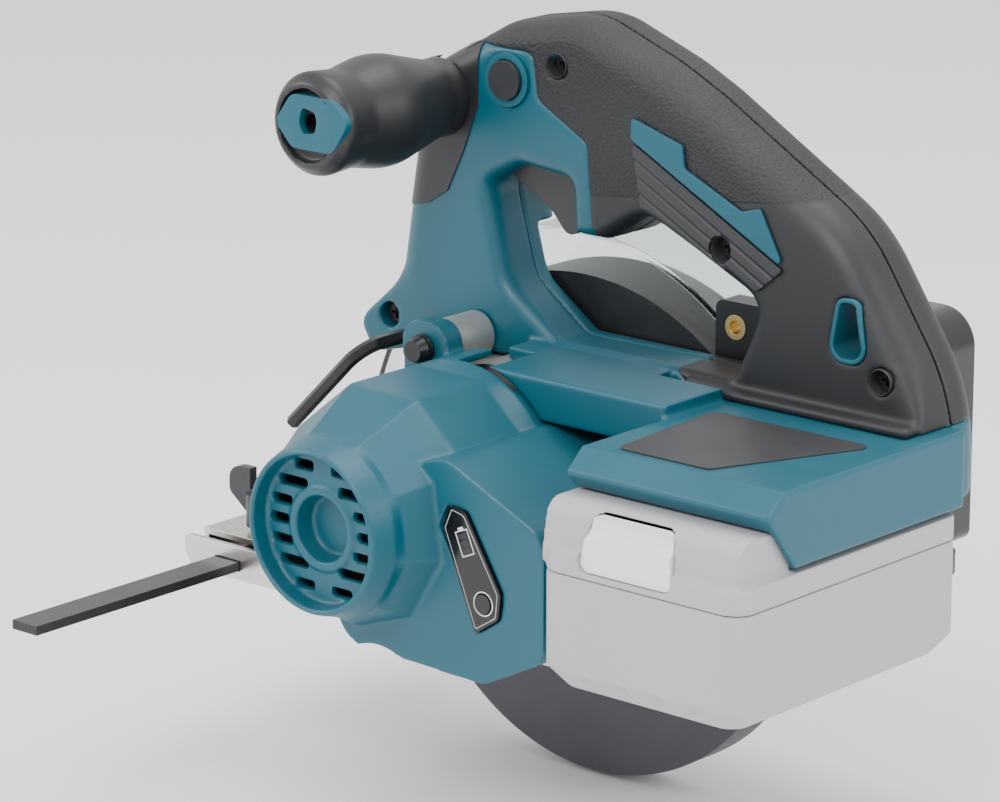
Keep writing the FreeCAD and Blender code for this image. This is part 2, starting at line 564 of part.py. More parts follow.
def shells():
    wall = size("rubber_skin") + size("shell_wall")
    mid = "(holder_front + holder_rear) / 2"
    rubber, plastic, strap = handle_parts("left")
    foot = box("rubber_foot", ("-148", "-62"), ("14.4", "22"), ("84.15", "87"))
    node("left_rubber_grip", fuse("left_rubber_whole", rubber, foot))
    blank = fuse("left_blank", plastic,
                 box("deck_block", ("-55", "2"), ("0.05", "deck_left"), ("82", "deck_top")),
                 box("deck_wall", ("-79", "2"), ("46", "deck_left"), ("74.4", "82.5")),
                 box("deck_link", ("-80", "-55"), ("22.1", "deck_left"), ("82", "deck_top")),
                 box("holder_block", ("holder_rear", "holder_front"), ("0.05", "holder_left"),
                     ("holder_bottom", "holder_top")))
    blank = cut("left_trimmed", blank, profile("left_finger_way", "XZ", [HANDLE_OPENING], "-1", "40"))
    room = profile("left_room", "XZ", [inset(HANDLE_OUTER, wall), inset(HANDLE_OPENING, -wall)],
                   "-1", "handle_half - rubber_skin - shell_wall")
    hollow = cut("left_hollow", room, *screw_posts("left"))
    left = cut("left_shell", blank, hollow, strap,
               box("tower_way", (f"{mid} - 31.8", f"{mid} + 31.8"), ("1.5", "120"), ("50",
                                                                                     "battery_tower + 0.5")),
               box("terminal_room", (f"{mid} - 30", f"{mid} + 30"), ("14", "84"), ("70",
                                                                                   "holder_top - shell_wall")),
               box("shoulder_way", ("holder_rear + 2.5", "holder_front + 1"), ("80.4", "110"), ("50", "72.4")),
               profile("holder_slope", "YZ", [[(86.5, 85, 0), (95, 77.5, 1), (81, 59, 0), (110, 59, 0),
                                               (110, 85, 0)]],
                       "holder_rear - 1", "holder_front + 1"),
               box("trigger_way_left", ("-17", "15"), ("-1", "6.4"), ("112", "160")),
               box("pivot_way_left", ("14", "25"), ("-1", "6.4"), ("137", "160")),
               rod("lock_way_left", "Y", "lock_x", "-1", "lock_z", "lock_radius + 2.4", "20"),
               rod("gear_way_left", "Y", "0", "-1", "motor_z", "35.4", "100"),
               rod("housing_way_left", "Y", "0", "27", "motor_z", "motor_radius + 0.4", "100"),
               box("gear_top_way", ("-30.4", "36.4"), ("-1", "28"), ("58", "80.4")),
               rod("key_way", "Y", "46", "2", "84", "2.7", "20"),
               *grip_screw_ways("left_shell"), *shank_ways("left"))
    node("left_handle_shell", left)

    rubber, plastic, strap = handle_parts("right")
    case_clear = box("right_case_way", ("-78", "100"), ("-20", "case_left + 0.4"), ("50", "116"))
    guide_clear = box("right_guide_way", ("-80", "-44"), ("-20", "-3.4"), ("50", "86.6"))
    case_round = rod("right_case_round", "Y", "0", "-20", "spindle_z", "104", "case_left + 20.4")
    node("right_rubber_grip", cut("right_rubber_clear", rubber, case_clear, case_round))
    room = profile("right_room", "XZ", [inset(HANDLE_OUTER, wall), inset(HANDLE_OPENING, -wall)],
                   "-handle_half + rubber_skin + shell_wall", "1")
    hollow = cut("right_hollow", room, *screw_posts("right"))
    right = cut("right_shell", plastic, hollow, strap, case_clear, case_round, guide_clear,
                box("right_trigger_way", ("-17", "15"), ("-6.4", "1"), ("112", "160")),
                box("right_pivot_way", ("14", "25"), ("-6.4", "1"), ("137", "160")),
                rod("lock_way_right", "Y", "lock_x", "-20", "lock_z", "lock_radius + 2.4", "20"),
                rod("gear_way_right", "Y", "0", "-4.4", "motor_z", "35.4", "5"),
                *shank_ways("right"))
    node("right_handle_shell", right)

    node("strap_hole_liner", cut("liner_cut", profile("liner_outer", "XZ", [inset(STRAP_HOLE, -1.5)],
                                                      "-handle_half", "handle_half + 0.4"),
                                 profile("liner_inner", "XZ", [STRAP_HOLE], "-20", "20")))
    node("lock_button_ring", cut("lock_ring_pair",
                                 fuse("lock_rings", rod("lock_ring_left", "Y", "lock_x", "12", "lock_z",
                                                        "lock_radius + 2.4", "4.6"),
                                      rod("lock_ring_right", "Y", "lock_x", "-16.6", "lock_z",
                                          "lock_radius + 2.4", "4.6")),
                                 rod("lock_ring_way", "Y", "lock_x", "-20", "lock_z", "lock_radius + 0.3", "40")))
    shafts = []
    for name, (x, z) in SCREWS.items():
        reach = -5.5 if name == "front" else -11
        shafts += [rod("shank_" + name, "Y", x, reach, z, "screw_radius", f"9.5 - ({reach})"),
                   cut("head_" + name, rod("head_blank_" + name, "Y", x, "9.5", z, "head_radius", "2.6"),
                       box("drive_a_" + name, (f"{x} - 2", f"{x} + 2"), ("11", "13"), (f"{z} - 0.5",
                                                                                       f"{z} + 0.5")),
                       box("drive_b_" + name, (f"{x} - 0.5", f"{x} + 0.5"), ("11", "13"), (f"{z} - 2",
                                                                                           f"{z} + 2")))]
    node("handle_screws", fuse("handle_screw_set", *shafts))


def trim_panels():
    """The ribbed side panels and the coloured stripes that lie on the rubber."""
    panel = [(-43, 137, 2), (-39, 157.4, 1), (-98, 126.2, 1), (-88, 118, 2)]
    stripe = [(-39, 158, 1), (-39, 165, 1), (-59, 159, 1), (-60, 152, 1), (-82, 142, 2), (-89, 144, 1),
              (-98.4, 126.8, 1)]
    ribs, stripes = [], []
    for side, low, high in (("left", "handle_half", "handle_half + 1.2"), ("right", "-handle_half - 1.2",
                                                                           "-handle_half")):
        plate = profile(side + "_panel", "XZ", [panel], low, high)
        outer = "handle_half + 0.5" if side == "left" else "-handle_half - 2"
        grooves = []
        for number in range(4):
            groove = doc.addObject("Part::Box", f"{side}_groove_{number}")
            turn = Rotation(Vector(0, -1, 0), 208)
            groove.Placement = Placement(Vector(), turn)
            bind(groove, Length="90", Width="1.5", Height="1")
            place(groove, "-30", outer, str(158 - 4.6 * number))
            grooves.append(groove)
        way = rod(f"{side}_panel_screw_way", "Y", "-74", "-20", "129", "head_radius + 0.6", "40")
        ribs.append(cut(side + "_ribbed", plate, way, *grooves))
        stripes.append(profile(side + "_stripe", "XZ", [stripe], low, high))
    node("ribbed_panels", fuse("ribbed_set", *ribs))
    node("accent_stripes", fuse("stripe_set", *stripes))


def inner_electrics():
    mid = "(holder_front + holder_rear) / 2"
    node("switch_body", box("switch_box", ("-44", "-19"), ("-8", "8"), ("144", "164")))
    node("controller_board", box("controller_box", (f"{mid} - 26", f"{mid} + 26"), ("36", "83"), ("76.5", "81")))
    block = box("terminal_base", (f"{mid} - 22", f"{mid} + 22"), ("16", "34"), ("72.2", "80"))
    blades = [box(f"terminal_{n}", (f"{mid} + {x}", f"{mid} + {x} + 1"), ("18", "30"), ("64", "72.3"))
              for n, x in enumerate((-15, -3, 2, 14))]
    node("terminal_block", fuse("terminal_whole", block, *blades))


# ---------------------------------------------------------------- motor
def motor_side():
    radius, lip, end, root = (size(a) for a in ("motor_radius", "lip_radius", "motor_end", "motor_root"))
    skin = [(0, root, 0), (radius, root, 0), (radius, 88, 6), (lip + 3, 110, 4), (lip, end, 1),
            (lip - 1.6, end, 0.6), (lip - 2.2, end - 6, 0), (13.6, end - 6, 0.5), (13, end - 5, 0.5),
            (10.4, end - 5, 0.8), (9.6, end - 12, 1), (0, end - 12, 0)]
    barrel = turned("motor_barrel", skin, "0", "motor_z")
    bulge = profile("motor_bulge", "XZ", [[(-74, 18, 6), (-50, 6, 8), (10, 8, 8), (10, 60, 4), (-34, 74, 6),
                                           (-74, 56, 10)]], "motor_root", "98")
    boss = profile("motor_boss", "XZ", [[(8, 60, 2), (31, 60, 2), (34, 95, 7), (16, 95, 7)]], "motor_root", "42")
    room = [(0, root - 1, 0), (radius - 2.5, root - 1, 0), (radius - 2.5, 87, 5), (lip, 108, 3),
            (lip - 5, end - 8.5, 0),
            (12.2, end - 8.5, 0), (12.2, end - 14.5, 0), (0, end - 14.5, 0)]
    hollow = turned("motor_room", room, "0", "motor_z")
    side_room = profile("bulge_room", "XZ", [[(-71.5, 20, 4), (-49, 8.6, 6), (6, 10, 6), (6, 58, 3),
                                              (-34, 71.4, 4),
                                              (-71.5, 54, 8)]], "motor_root - 1", "95.4")
    panel_way = panel_block("panel_way", 0.15, "96", "110")
    slots = []
    for number in range(7):
        level = f"motor_z + {(number - 3) * 6.3}"
        for side in (-1, 1):
            rise = abs(number - 3) * 6.3
            near = max(math.sqrt(max(14.2 ** 2 - rise ** 2, 0)), 3.6)
            far = math.sqrt((lip - 3.4) ** 2 - rise ** 2)
            span = sorted((side * near, side * far))
            slots.append(box(f"vent_{number}_{side + 1}", (str(span[0]), str(span[1])), ("108", "118"),
                             (f"{level} - 1.5", f"{level} + 1.5")))
    battery_clear = box("motor_battery_way", ("-100", "holder_front + 0.6"), ("0", "140"), ("0", "60"))
    deck_clear = box("motor_deck_way", ("-90", "2.4"), ("20", "deck_left + 0.4"), ("81.6", "100"))
    shell_clear = profile("motor_column_way", "XZ", [inset(HANDLE_OUTER, -0.4)], "0", "handle_half + 0.4")
    node("motor_housing", cut("motor_shell", fuse("motor_blank", barrel, bulge, boss), hollow, side_room,
                              panel_way, battery_clear, deck_clear, shell_clear,
                              rod("boss_way", "Y", "24", "20", "86.5", "2.2", "40"), *slots))
    node("display_panel", cut("display_cut", panel_block("display_plate", 0, "96.2", "99"),
                              rod("gauge_way", "Y", "-51.3", "90", "32", "3.4", "20")))
    node("gauge_button", rod("gauge_cap", "Y", "-51.3", "97", "32", "3.1", "2.6"))
    node("motor_stator", tube("stator_ring", "Y", "0", "52", "motor_z", "stator_radius",
                              "rotor_radius + 0.6", "36"))
    node("motor_screws", fuse("motor_screw_set",
                              rod("motor_screw_shank", "Y", "24", "24", "86.5", "2", "18.2"),
                              rod("motor_screw_washer", "Y", "24", "42.1", "86.5", "4.7", "1"),
                              rod("motor_screw_spring", "Y", "24", "43.1", "86.5", "4.4", "1.4"),
                              taper("motor_screw_head", "Y", "24", "44.5", "86.5", "4.6", "3.4", "3")))


def panel_block(name, grow, low, high):
    """The slanted outline of the battery gauge."""
    loop = [(-57, 28, 3), (-48, 22, 1), (-35, 53, 1), (-38, 60, 1), (-44, 59, 4), (-58, 36, 3)]
    return profile(name, "XZ", [inset(loop, -grow)], low, high)


# ---------------------------------------------------------------- battery
def battery():
    mid = "(holder_front + holder_rear) / 2"
    rear, front = "battery_face - battery_length", "battery_face"
    sides = ("holder_rear", "holder_front")

    def case(name, low, high):
        outer = box(name + "_outer", sides, (rear, front), (low, high))
        doc.recompute()
        return round_edges(name + "_round", outer, 7, along(Vector(0, 0, 1)))
    lower = case("lower_case", "battery_bottom", "battery_seam - 0.05")
    room = box("lower_room", ("holder_rear + 2.2", "holder_front - 2.2"), (f"{rear} + 2.2", f"{front} - 2.2"),
               ("battery_bottom + 2.2", "battery_seam + 1"))
    room = round_edges("lower_room_round", room, 5, along(Vector(0, 0, 1)))
    node("battery_lower_case", cut("battery_lower", lower, room))
    upper = case("upper_case", "battery_seam + 0.05", "battery_shoulder")
    tower = box("tower", (f"{mid} - 31", f"{mid} + 31"), ("2", "81"), ("battery_seam + 1", "battery_tower"))
    front_block = profile("button_block", "YZ", [[(80.5, 52, 0), (106.5, 52, 3), (103, 71.8, 6), (81.5,
                                                                                                  71.8, 2)]],
                          "holder_rear + 3", "holder_front - 0.4")
    room = box("upper_room", (f"{mid} - 28.6", f"{mid} + 28.6"), ("5", "97"), ("battery_seam - 1",
                                                                               "battery_tower - 2.4"))
    cell_room = box("cell_room", (f"{mid} - 34", f"{mid} + 34"), ("4", "102"), ("battery_seam - 1", "55"))
    slots = [box(f"contact_way_{n}", (f"{mid} + {x} - 0.5", f"{mid} + {x} + 1.5"), ("1", "80"), ("62", "75"))
             for n, x in enumerate((-15, -3, 2, 14))]
    button_way = button_block("button_way", 0.3, "90", "112")
    node("battery_upper_case", cut("battery_upper", fuse("battery_upper_blank", upper, tower, front_block),
                                   room, cell_room, button_way, *slots))
    node("battery_release_button", cut("release_cut", button_block("release", 0, "101.5", "106"),
                                       rod("thumb_dish", "X", "-140", "108", "67", "4.5", "60")))
    cells = []
    for column in range(5):
        for layer in range(2):
            y = f"{rear} + 13 + {column} * (2 * cell_radius + 1.6)"
            z = f"battery_bottom + 2.4 + cell_radius + {layer} * (2 * cell_radius + 0.3)"
            cells.append(rod(f"cell_{column}_{layer}", "X", f"{mid} - 32.5", y, z, "cell_radius", "65"))
    node("battery_cells", fuse("cell_set", *cells))


def button_block(name, grow, low, high):
    loop = [(-129, 53, 3), (-94, 53, 3), (-98, 70, 3), (-127, 70, 3)]
    return profile(name, "XZ", [inset(loop, -grow)], low, high)


# ---------------------------------------------------------------- base and its adjusters
def base():
    plate = profile("base_blank", "XY",
                    [[(size("base_rear"), size("base_right"), 8), (size("base_front"), size("base_right"), 8),
                      (size("base_front"), size("base_left"), 3), (size("base_rear"), size("base_left"), 8)],
                     [(-88, -36, 4), (88, -36, 4), (88, -7, 4), (24, -7, 4), (24, -5.6, 0), (-24, -5.6, 0),
                      (-24, -7, 4), (-88, -7, 4)]], "0", "base_plate")
    flange = profile("base_flange", "XZ", [[(50, 1, 0), (size("base_front") - 3, 1, 0),
                                            (size("base_front"), 5, 3), (size("base_front"),
                                                                         size("flange_height"), 2),
                                            (60, size("flange_height"), 4)]],
                     "base_left - 2", "base_left")
    ears = fuse("base_ears", base_ear("left", "13.8", "16.2"), base_ear("right", "-2.2", "0.2"))
    bridge = fuse("base_bridge",
                  box("bridge_top", ("rule_x - 18", "base_front - 2"), ("26", "base_left - 7"), ("10", "12")),
                  box("bridge_rear", ("rule_x - 18", "rule_x - 16"), ("26", "base_left - 7"), ("2", "12")),
                  box("bridge_front", ("base_front - 4", "base_front - 2"), ("26", "base_left - 7"), ("2", "12")))
    rule_way = box("rule_way", ("rule_x - rule_width / 2 - 0.3", "rule_x + rule_width / 2 + 0.3"), ("-80", "80"),
                   ("rule_z - 0.3", "rule_z + rule_thickness + 0.3"))
    screw_way = rod("guide_screw_way", "Z", "rule_x", "42", "9", "2.5", "6")
    node("base_plate", cut("base_cut", fuse("base_whole", plate, flange, ears, bridge), rule_way, screw_way))

    reach = size("pivot_x") - size("bolt_x")
    swing = math.radians(size("depth_angle"))
    node("depth_guide", depth_guide(reach, swing))
    node("base_pivot_pin", fuse("pivot_whole",
                                rod("pivot_pin", "Y", "pivot_x", "-4.2", "pivot_z", "pivot_radius", "22.4"),
                                rod("pivot_head", "Y", "pivot_x", "-5.4", "pivot_z", "5.4", "1.6"),
                                rod("pivot_clip", "Y", "pivot_x", "17", "pivot_z", "5.4", "1.2")))
    node("depth_bolt", fuse("depth_bolt_whole",
                            rod("depth_bolt_shank", "Y", "bolt_x", "-9.2", "bolt_z", "2.9", "17"),
                            rod("depth_bolt_head", "Y", "bolt_x", "-9.2", "bolt_z", "3.9", "2.6")))
    lever = fuse("depth_lever_blank",
                 rod("depth_lever_hub", "Y", "bolt_x", "-3.7", "bolt_z", "7", "10.3"),
                 box("depth_lever_arm", ("bolt_x - 3.5", "bolt_x + 3.5"), ("2.6", "6.6"), ("bolt_z",
                                                                                           "bolt_z + 34")),
                 rod("depth_lever_tip", "Y", "bolt_x", "2.6", "bolt_z + 34", "5", "9"))
    node("depth_lever", cut("depth_lever_cut", lever,
                            rod("depth_lever_bore", "Y", "bolt_x", "-5", "bolt_z", "2.95", "14")))

    rule = fuse("rule_whole",
                box("rule_bar", ("rule_x - rule_width / 2", "rule_x + rule_width / 2"), ("-76", "148"),
                    ("rule_z", "rule_z + rule_thickness")),
                box("rule_fence", ("rule_x - 45", "rule_x + 18"), ("-79", "-76"), ("-9", "8")))
    node("guide_rule", rule)
    wing = profile("wing_blank", "XZ", [[(size("rule_x") - 4, 17, 0), (size("rule_x") + 4, 17, 0),
                                         (size("rule_x") + 13, 24, 3), (size("rule_x") + 13, 33, 5),
                                         (size("rule_x") - 13, 33, 5), (size("rule_x") - 13, 24, 3)]], "40.4", "43.6")
    wing = cut("wing_cut", wing, box("wing_gap", ("rule_x - 3.4", "rule_x + 3.4"), ("30", "50"), ("26", "40")))
    node("guide_screw", fuse("guide_screw_whole", wing, rod("guide_screw_hub", "Z", "rule_x", "42", "14",
                                                            "5", "11"),
                             rod("guide_screw_shank", "Z", "rule_x", "42", "6.5", "2.3", "8")))


def base_ear(side, low, high):
    x, z = size("pivot_x"), size("pivot_z")
    ear = profile(f"ear_{side}", "XZ", [[(x - 3, 1, 0), (x + 7, 1, 0), (x + 7, z + 7, 6), (x - 6.4, z + 7, 6),
                                         (x - 6.4, 9, 3)]], low, high)
    return cut(f"ear_{side}_bored", ear, rod(f"ear_{side}_bore", "Y", "pivot_x", "-6", "pivot_z",
                                             "pivot_radius + 0.05", "26"))


def depth_guide(reach, swing):
    """A sector that stands on the base, slotted about the front pivot for the locking bolt."""
    def arc_band(name, inner, outer, start, end, low, length):
        ring = tube(name + "_ring", "Y", "pivot_x", low, "pivot_z", str(outer), str(inner), length)
        a, b = math.radians(180 - start), math.radians(180 - end)
        x, z = size("pivot_x"), size("pivot_z")
        far = 260
        corners = [(x, z, 0), (x + far * math.cos(b), z + far * math.sin(b), 0),
                   (x + far * math.cos(a), z + far * math.sin(a), 0)]
        wedge = profile(name + "_wedge", "XZ", [list(reversed(corners)) if a < b else corners], "-20", "20")
        return common(name, ring, wedge)
    rise = math.degrees(math.asin((size("bolt_z") - size("pivot_z")) / reach))
    top = rise + math.degrees(swing)
    plate = arc_band("guide_plate", reach - 7, reach + 7, -3.5, top + 2.2, "case_left + 0.6", "2.4")
    slot = arc_band("guide_slot", reach - 3.1, reach + 3.1, rise - 1.1, top + 1.1, "-20", "40")
    foot = box("guide_foot", ("bolt_x - 8", "bolt_x + 8"), ("case_left + 0.6", "8"), ("base_plate",
                                                                                      "base_plate + 2"))
    tidy = box("guide_trim", ("bolt_x - 20", "bolt_x + 20"), ("-20", "20"), ("-20", "base_plate"))
    return cut("guide_cut", fuse("guide_blank", plate, foot), slot, tidy)


# ---------------------------------------------------------------- hand parts
def hand_parts():
    radius, end = size("grip_radius"), size("grip_end")
    grip = [(0, 12, 0), (13, 12, 1), (12.5, 22, 8), (radius + 1, 46, 26), (15.5, 62, 12), (16.5, end - 4, 4),
            (13, end, 3), (0, end, 0)]
    shape = turned("grip_turned", grip, "grip_x", "grip_z")
    column = profile("grip_column_way", "XZ", [inset(HANDLE_OUTER, -0.05)], "0", "handle_half + 0.02")
    bore = rod("grip_bore", "Y", "grip_x", "16", "grip_z", "3.2", "70")
    cap_way = rod("grip_cap_way", "Y", "grip_x", "grip_end - 3", "grip_z", "11.5", "10")
    node("front_grip", cut("grip_cut", shape, column, bore, cap_way))
    cap = turned("cap_turned", [(3, end - 2.9, 0), (11.4, end - 2.9, 0), (11.4, end + 0.6, 1), (3,
                                                                                                end + 0.6, 0.5)],
                 "grip_x", "grip_z")
    node("front_grip_cap", cap)
    node("front_grip_screw", fuse("grip_screw_whole",
                                  rod("grip_screw_shank", "Y", "grip_x", "16.2", "grip_z", "2.4", "44"),
                                  rod("grip_screw_head", "Y", "grip_x", "60", "grip_z", "3.1", "4")))
    loop = [(16, 136, 2), (20.5, 140, 2), (21, 152, 3), (13, 152, 3), (-10, 146, 3), (-11, 126, 2), (-6, 119, 4),
            (2, 128, 10)]
    trigger = profile("trigger_blank", "XZ", [list(reversed(loop))], "-6", "6")
    node("trigger", cut("trigger_cut", trigger,
                        rod("trigger_bore", "Y", "trigger_pivot_x", "-8", "trigger_pivot_z", "1.6", "16")))
    node("trigger_pin", rod("trigger_pin_rod", "Y", "trigger_pivot_x", "-9", "trigger_pivot_z", "1.5", "18"))
    node("lock_off_button", fuse("lock_button_whole",
                                 rod("lock_button_left", "Y", "lock_x", "-18", "lock_z", "lock_radius", "36")))
    hexagon = hex_key()
    node("hex_key", hexagon)
    node("nameplate", nameplate())


def nameplate():
    loop = [(-146, 34, 3), (-86, 34, 3), (-90, 84, 3), (-124, 84, 3)]
    return profile("nameplate_plate", "XY", [loop], "holder_top", "holder_top + 0.5")


def hex_key():
    """A bent hexagonal bar: a short arm along Y, a round elbow and a long arm that slopes down."""
    start = Vector(46, 5, 84)
    elbow = Vector(46, 47, 84)
    end = Vector(76, 48, 54)
    before, middle, after = corner_arc(start, elbow, end, 9)
    path = Part.Wire([Part.LineSegment(start, before).toShape(), Part.Arc(before, middle, after).toShape(),
                      Part.LineSegment(after, end).toShape()])
    direction = (elbow - start).normalize()
    radius = size("key_size") / math.sqrt(3)
    turn = Rotation(Vector(0, 0, 1), direction)
    corners = [start + turn.multVec(Vector(radius * math.cos(math.radians(60 * k)),
                                           radius * math.sin(math.radians(60 * k)), 0)) for k in range(7)]
    face = Part.makePolygon(corners)
    bar = path.makePipeShell([face], True, False)
    thing = doc.addObject("Part::Feature", "hex_key_bar")
    thing.Shape = Part.Solid(bar) if bar.ShapeType != "Solid" else bar
    thing.Placement = Placement()
    return thing


blade_group()
gear_train()
gear_housing()
lower_guard()
blade_case()
shells()
trim_panels()
inner_electrics()
motor_side()
battery()
base()
hand_parts()
doc.recompute()

failed = [thing.Name for thing in doc.Objects if {"Invalid", "Error"} & set(thing.State)]
if failed:
    for thing in doc.Objects:
        if hasattr(thing, "Shape") and (thing.Shape.isNull() or not thing.Shape.isValid()):
            print("BAD", thing.Name)
    raise RuntimeError("failed: " + ", ".join(failed))
os.makedirs("parts", exist_ok=True)
for thing in NODES:
    shape = thing.Shape
    if shape.isNull() or not shape.isValid() or not shape.Solids:
        raise RuntimeError(f"{thing.Label} has no valid solid")
    shape.exportStep(f"parts/{thing.Label}.step")
    print(f"{thing.Label}: {len(shape.Solids)} solids, {shape.Volume / 1000:.2f} cm3")
print(len(NODES), "nodes")
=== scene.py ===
"""Looks of the circular saw: finishes, moulded shells, small details, studio and camera."""

import json
import logging
import math
from dataclasses import dataclass, field
from enum import Enum

import bmesh
import bpy
import numpy as np
from mathutils import Matrix, Vector


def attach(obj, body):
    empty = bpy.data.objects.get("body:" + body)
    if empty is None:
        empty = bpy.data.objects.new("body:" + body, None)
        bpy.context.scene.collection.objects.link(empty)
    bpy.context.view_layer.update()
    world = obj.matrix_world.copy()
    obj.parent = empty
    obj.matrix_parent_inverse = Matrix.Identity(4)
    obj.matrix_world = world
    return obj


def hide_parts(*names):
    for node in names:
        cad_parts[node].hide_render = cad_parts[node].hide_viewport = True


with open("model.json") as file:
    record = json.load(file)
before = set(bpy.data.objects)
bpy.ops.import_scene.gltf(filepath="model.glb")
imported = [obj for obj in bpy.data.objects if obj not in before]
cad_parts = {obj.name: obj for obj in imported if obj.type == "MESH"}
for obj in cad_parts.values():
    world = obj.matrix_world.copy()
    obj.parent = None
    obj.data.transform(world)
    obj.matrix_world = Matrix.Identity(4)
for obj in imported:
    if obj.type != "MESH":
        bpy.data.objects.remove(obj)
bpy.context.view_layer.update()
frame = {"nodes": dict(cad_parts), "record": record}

log = logging.getLogger("saw")
MM = 0.001
Point = tuple[float, float, float]
Flat = tuple[float, float]

ZONE_STEEPNESS = 1600.0
WORN_POINTINESS = (0.52, 0.6)
DUST_COLOUR = (0.5, 0.49, 0.46, 1.0)
COAT_ROUGHNESS = 0.15
ACRYLIC_IOR = 1.49
WORN_GAIN, WORN_LIFT = 1.6, 0.03
ZONE_ROUGHNESS = 0.12
CORNER_SAMPLES = 4
SMOOTH_LIMIT = math.radians(35)
WELD_DISTANCE = 1e-6


# ---------------------------------------------------------------- shader groups
class Surface(Enum):
    """How a surface was made, which decides its fine relief."""

    MOULDED = "moulded"
    PEBBLED = "pebbled"
    BRUSHED = "brushed"
    CAST = "cast"


@dataclass
class GroupMaker:
    """Builds one shader node group with named sockets."""

    name: str
    inputs: dict[str, float]
    outputs: tuple[str, ...]
    tree: bpy.types.NodeTree = field(init=False)
    start: bpy.types.Node = field(init=False)
    end: bpy.types.Node = field(init=False)

    def __post_init__(self) -> None:
        """Makes the empty group with its sockets."""
        self.tree = bpy.data.node_groups.new(self.name, "ShaderNodeTree")
        for label, value in self.inputs.items():
            socket = self.tree.interface.new_socket(label, in_out="INPUT", socket_type="NodeSocketFloat")
            socket.default_value = value
        for label in self.outputs:
            self.tree.interface.new_socket(label, in_out="OUTPUT", socket_type="NodeSocketFloat")
        self.start = self.tree.nodes.new("NodeGroupInput")
        self.end = self.tree.nodes.new("NodeGroupOutput")

    def add(self, kind: str, links: dict[str | int, object] | None = None,
            **settings: object) -> bpy.types.Node:
        """Adds a node.

        Args:
            kind: The Blender node type.
            links: Input name or index to a socket that feeds it, or to a plain value.
            settings: Properties to set on the node.

        Returns:
            The new node.
        """
        return add_node(self.tree, kind, links, **settings)

    def give(self, label: str, socket: bpy.types.NodeSocket) -> None:
        """Joins a socket to one of the group's outputs."""
        self.tree.links.new(socket, self.end.inputs[label])


def add_node(tree: bpy.types.NodeTree, kind: str, links: dict[str | int, object] | None = None,
             **settings: object) -> bpy.types.Node:
    """Adds a node to a tree and feeds its inputs.

    Args:
        tree: The material's or the group's tree.
        kind: The Blender node type.
        links: Input name or index to a socket that feeds it, or to a plain value.
        settings: Properties to set on the node.

    Returns:
        The new node.
    """
    node = tree.nodes.new(kind)
    for label, value in settings.items():
        setattr(node, label, value)
    for label, value in (links or {}).items():
        if isinstance(value, bpy.types.NodeSocket):
            tree.links.new(value, node.inputs[label])
        else:
            node.inputs[label].default_value = value
    return node


def fine_grain() -> bpy.types.NodeTree:
    """Small even relief of a moulded or cast surface.

    Returns:
        A group that gives a height and a slow tone.
    """
    made = GroupMaker("fine_grain", {"Scale": 1500.0, "Slow": 30.0}, ("Height", "Tone"))
    place = made.add("ShaderNodeTexCoord").outputs["Object"]
    small = made.add("ShaderNodeTexNoise", {"Vector": place, "Scale": made.start.outputs["Scale"],
                                            "Detail": 3.0})
    slow = made.add("ShaderNodeTexNoise", {"Vector": place, "Scale": made.start.outputs["Slow"],
                                           "Detail": 2.0})
    made.give("Height", small.outputs["Fac"])
    made.give("Tone", slow.outputs["Fac"])
    return made.tree


def pebble_skin() -> bpy.types.NodeTree:
    """Rounded pebbles of a soft overmould, which fade out below a sloping line.

    Returns:
        A group that gives a height and a mask of the textured zone.
    """
    made = GroupMaker("pebble_skin", {"Scale": 900.0, "Line X": 0.0, "Line Z": 0.0, "Offset": 0.0},
                      ("Height", "Zone"))
    place = made.add("ShaderNodeTexCoord").outputs["Object"]
    cells = made.add("ShaderNodeTexVoronoi", {"Vector": place, "Scale": made.start.outputs["Scale"],
                                              "Smoothness": 0.35}, feature="SMOOTH_F1")
    dome = made.add("ShaderNodeMath", {0: 1.0, 1: cells.outputs["Distance"]}, operation="SUBTRACT")
    parts = made.add("ShaderNodeSeparateXYZ", {0: place})
    along = made.add("ShaderNodeMath", {0: parts.outputs["X"], 1: made.start.outputs["Line X"]},
                     operation="MULTIPLY")
    height = made.add("ShaderNodeMath", {0: parts.outputs["Z"], 1: made.start.outputs["Line Z"]},
                      operation="MULTIPLY")
    total = made.add("ShaderNodeMath", {0: along.outputs[0], 1: height.outputs[0]}, operation="ADD")
    past = made.add("ShaderNodeMath", {0: total.outputs[0], 1: made.start.outputs["Offset"]},
                    operation="SUBTRACT")
    zone = made.add("ShaderNodeMath", {0: past.outputs[0], 1: ZONE_STEEPNESS}, operation="MULTIPLY")
    zone.use_clamp = True
    made.give("Height", dome.outputs[0])
    made.give("Zone", zone.outputs[0])
    return made.tree


def edge_wear() -> bpy.types.NodeTree:
    """Rubbed corners, broken up by noise.

    Returns:
        A group that gives a mask of the worn edges.
    """
    made = GroupMaker("edge_wear", {"Amount": 0.3, "Break Up": 120.0}, ("Mask",))
    point = made.add("ShaderNodeNewGeometry").outputs["Pointiness"]
    sharp = made.add("ShaderNodeMapRange", {"Value": point, "From Min": WORN_POINTINESS[0],
                                            "From Max": WORN_POINTINESS[1]})
    place = made.add("ShaderNodeTexCoord").outputs["Object"]
    noise = made.add("ShaderNodeTexNoise", {"Vector": place, "Scale": made.start.outputs["Break Up"],
                                            "Detail": 4.0})
    rubbed = made.add("ShaderNodeMath", {0: sharp.outputs[0], 1: noise.outputs["Fac"]}, operation="MULTIPLY")
    scaled = made.add("ShaderNodeMath", {0: rubbed.outputs[0], 1: made.start.outputs["Amount"]},
                      operation="MULTIPLY")
    scaled.use_clamp = True
    made.give("Mask", scaled.outputs[0])
    return made.tree


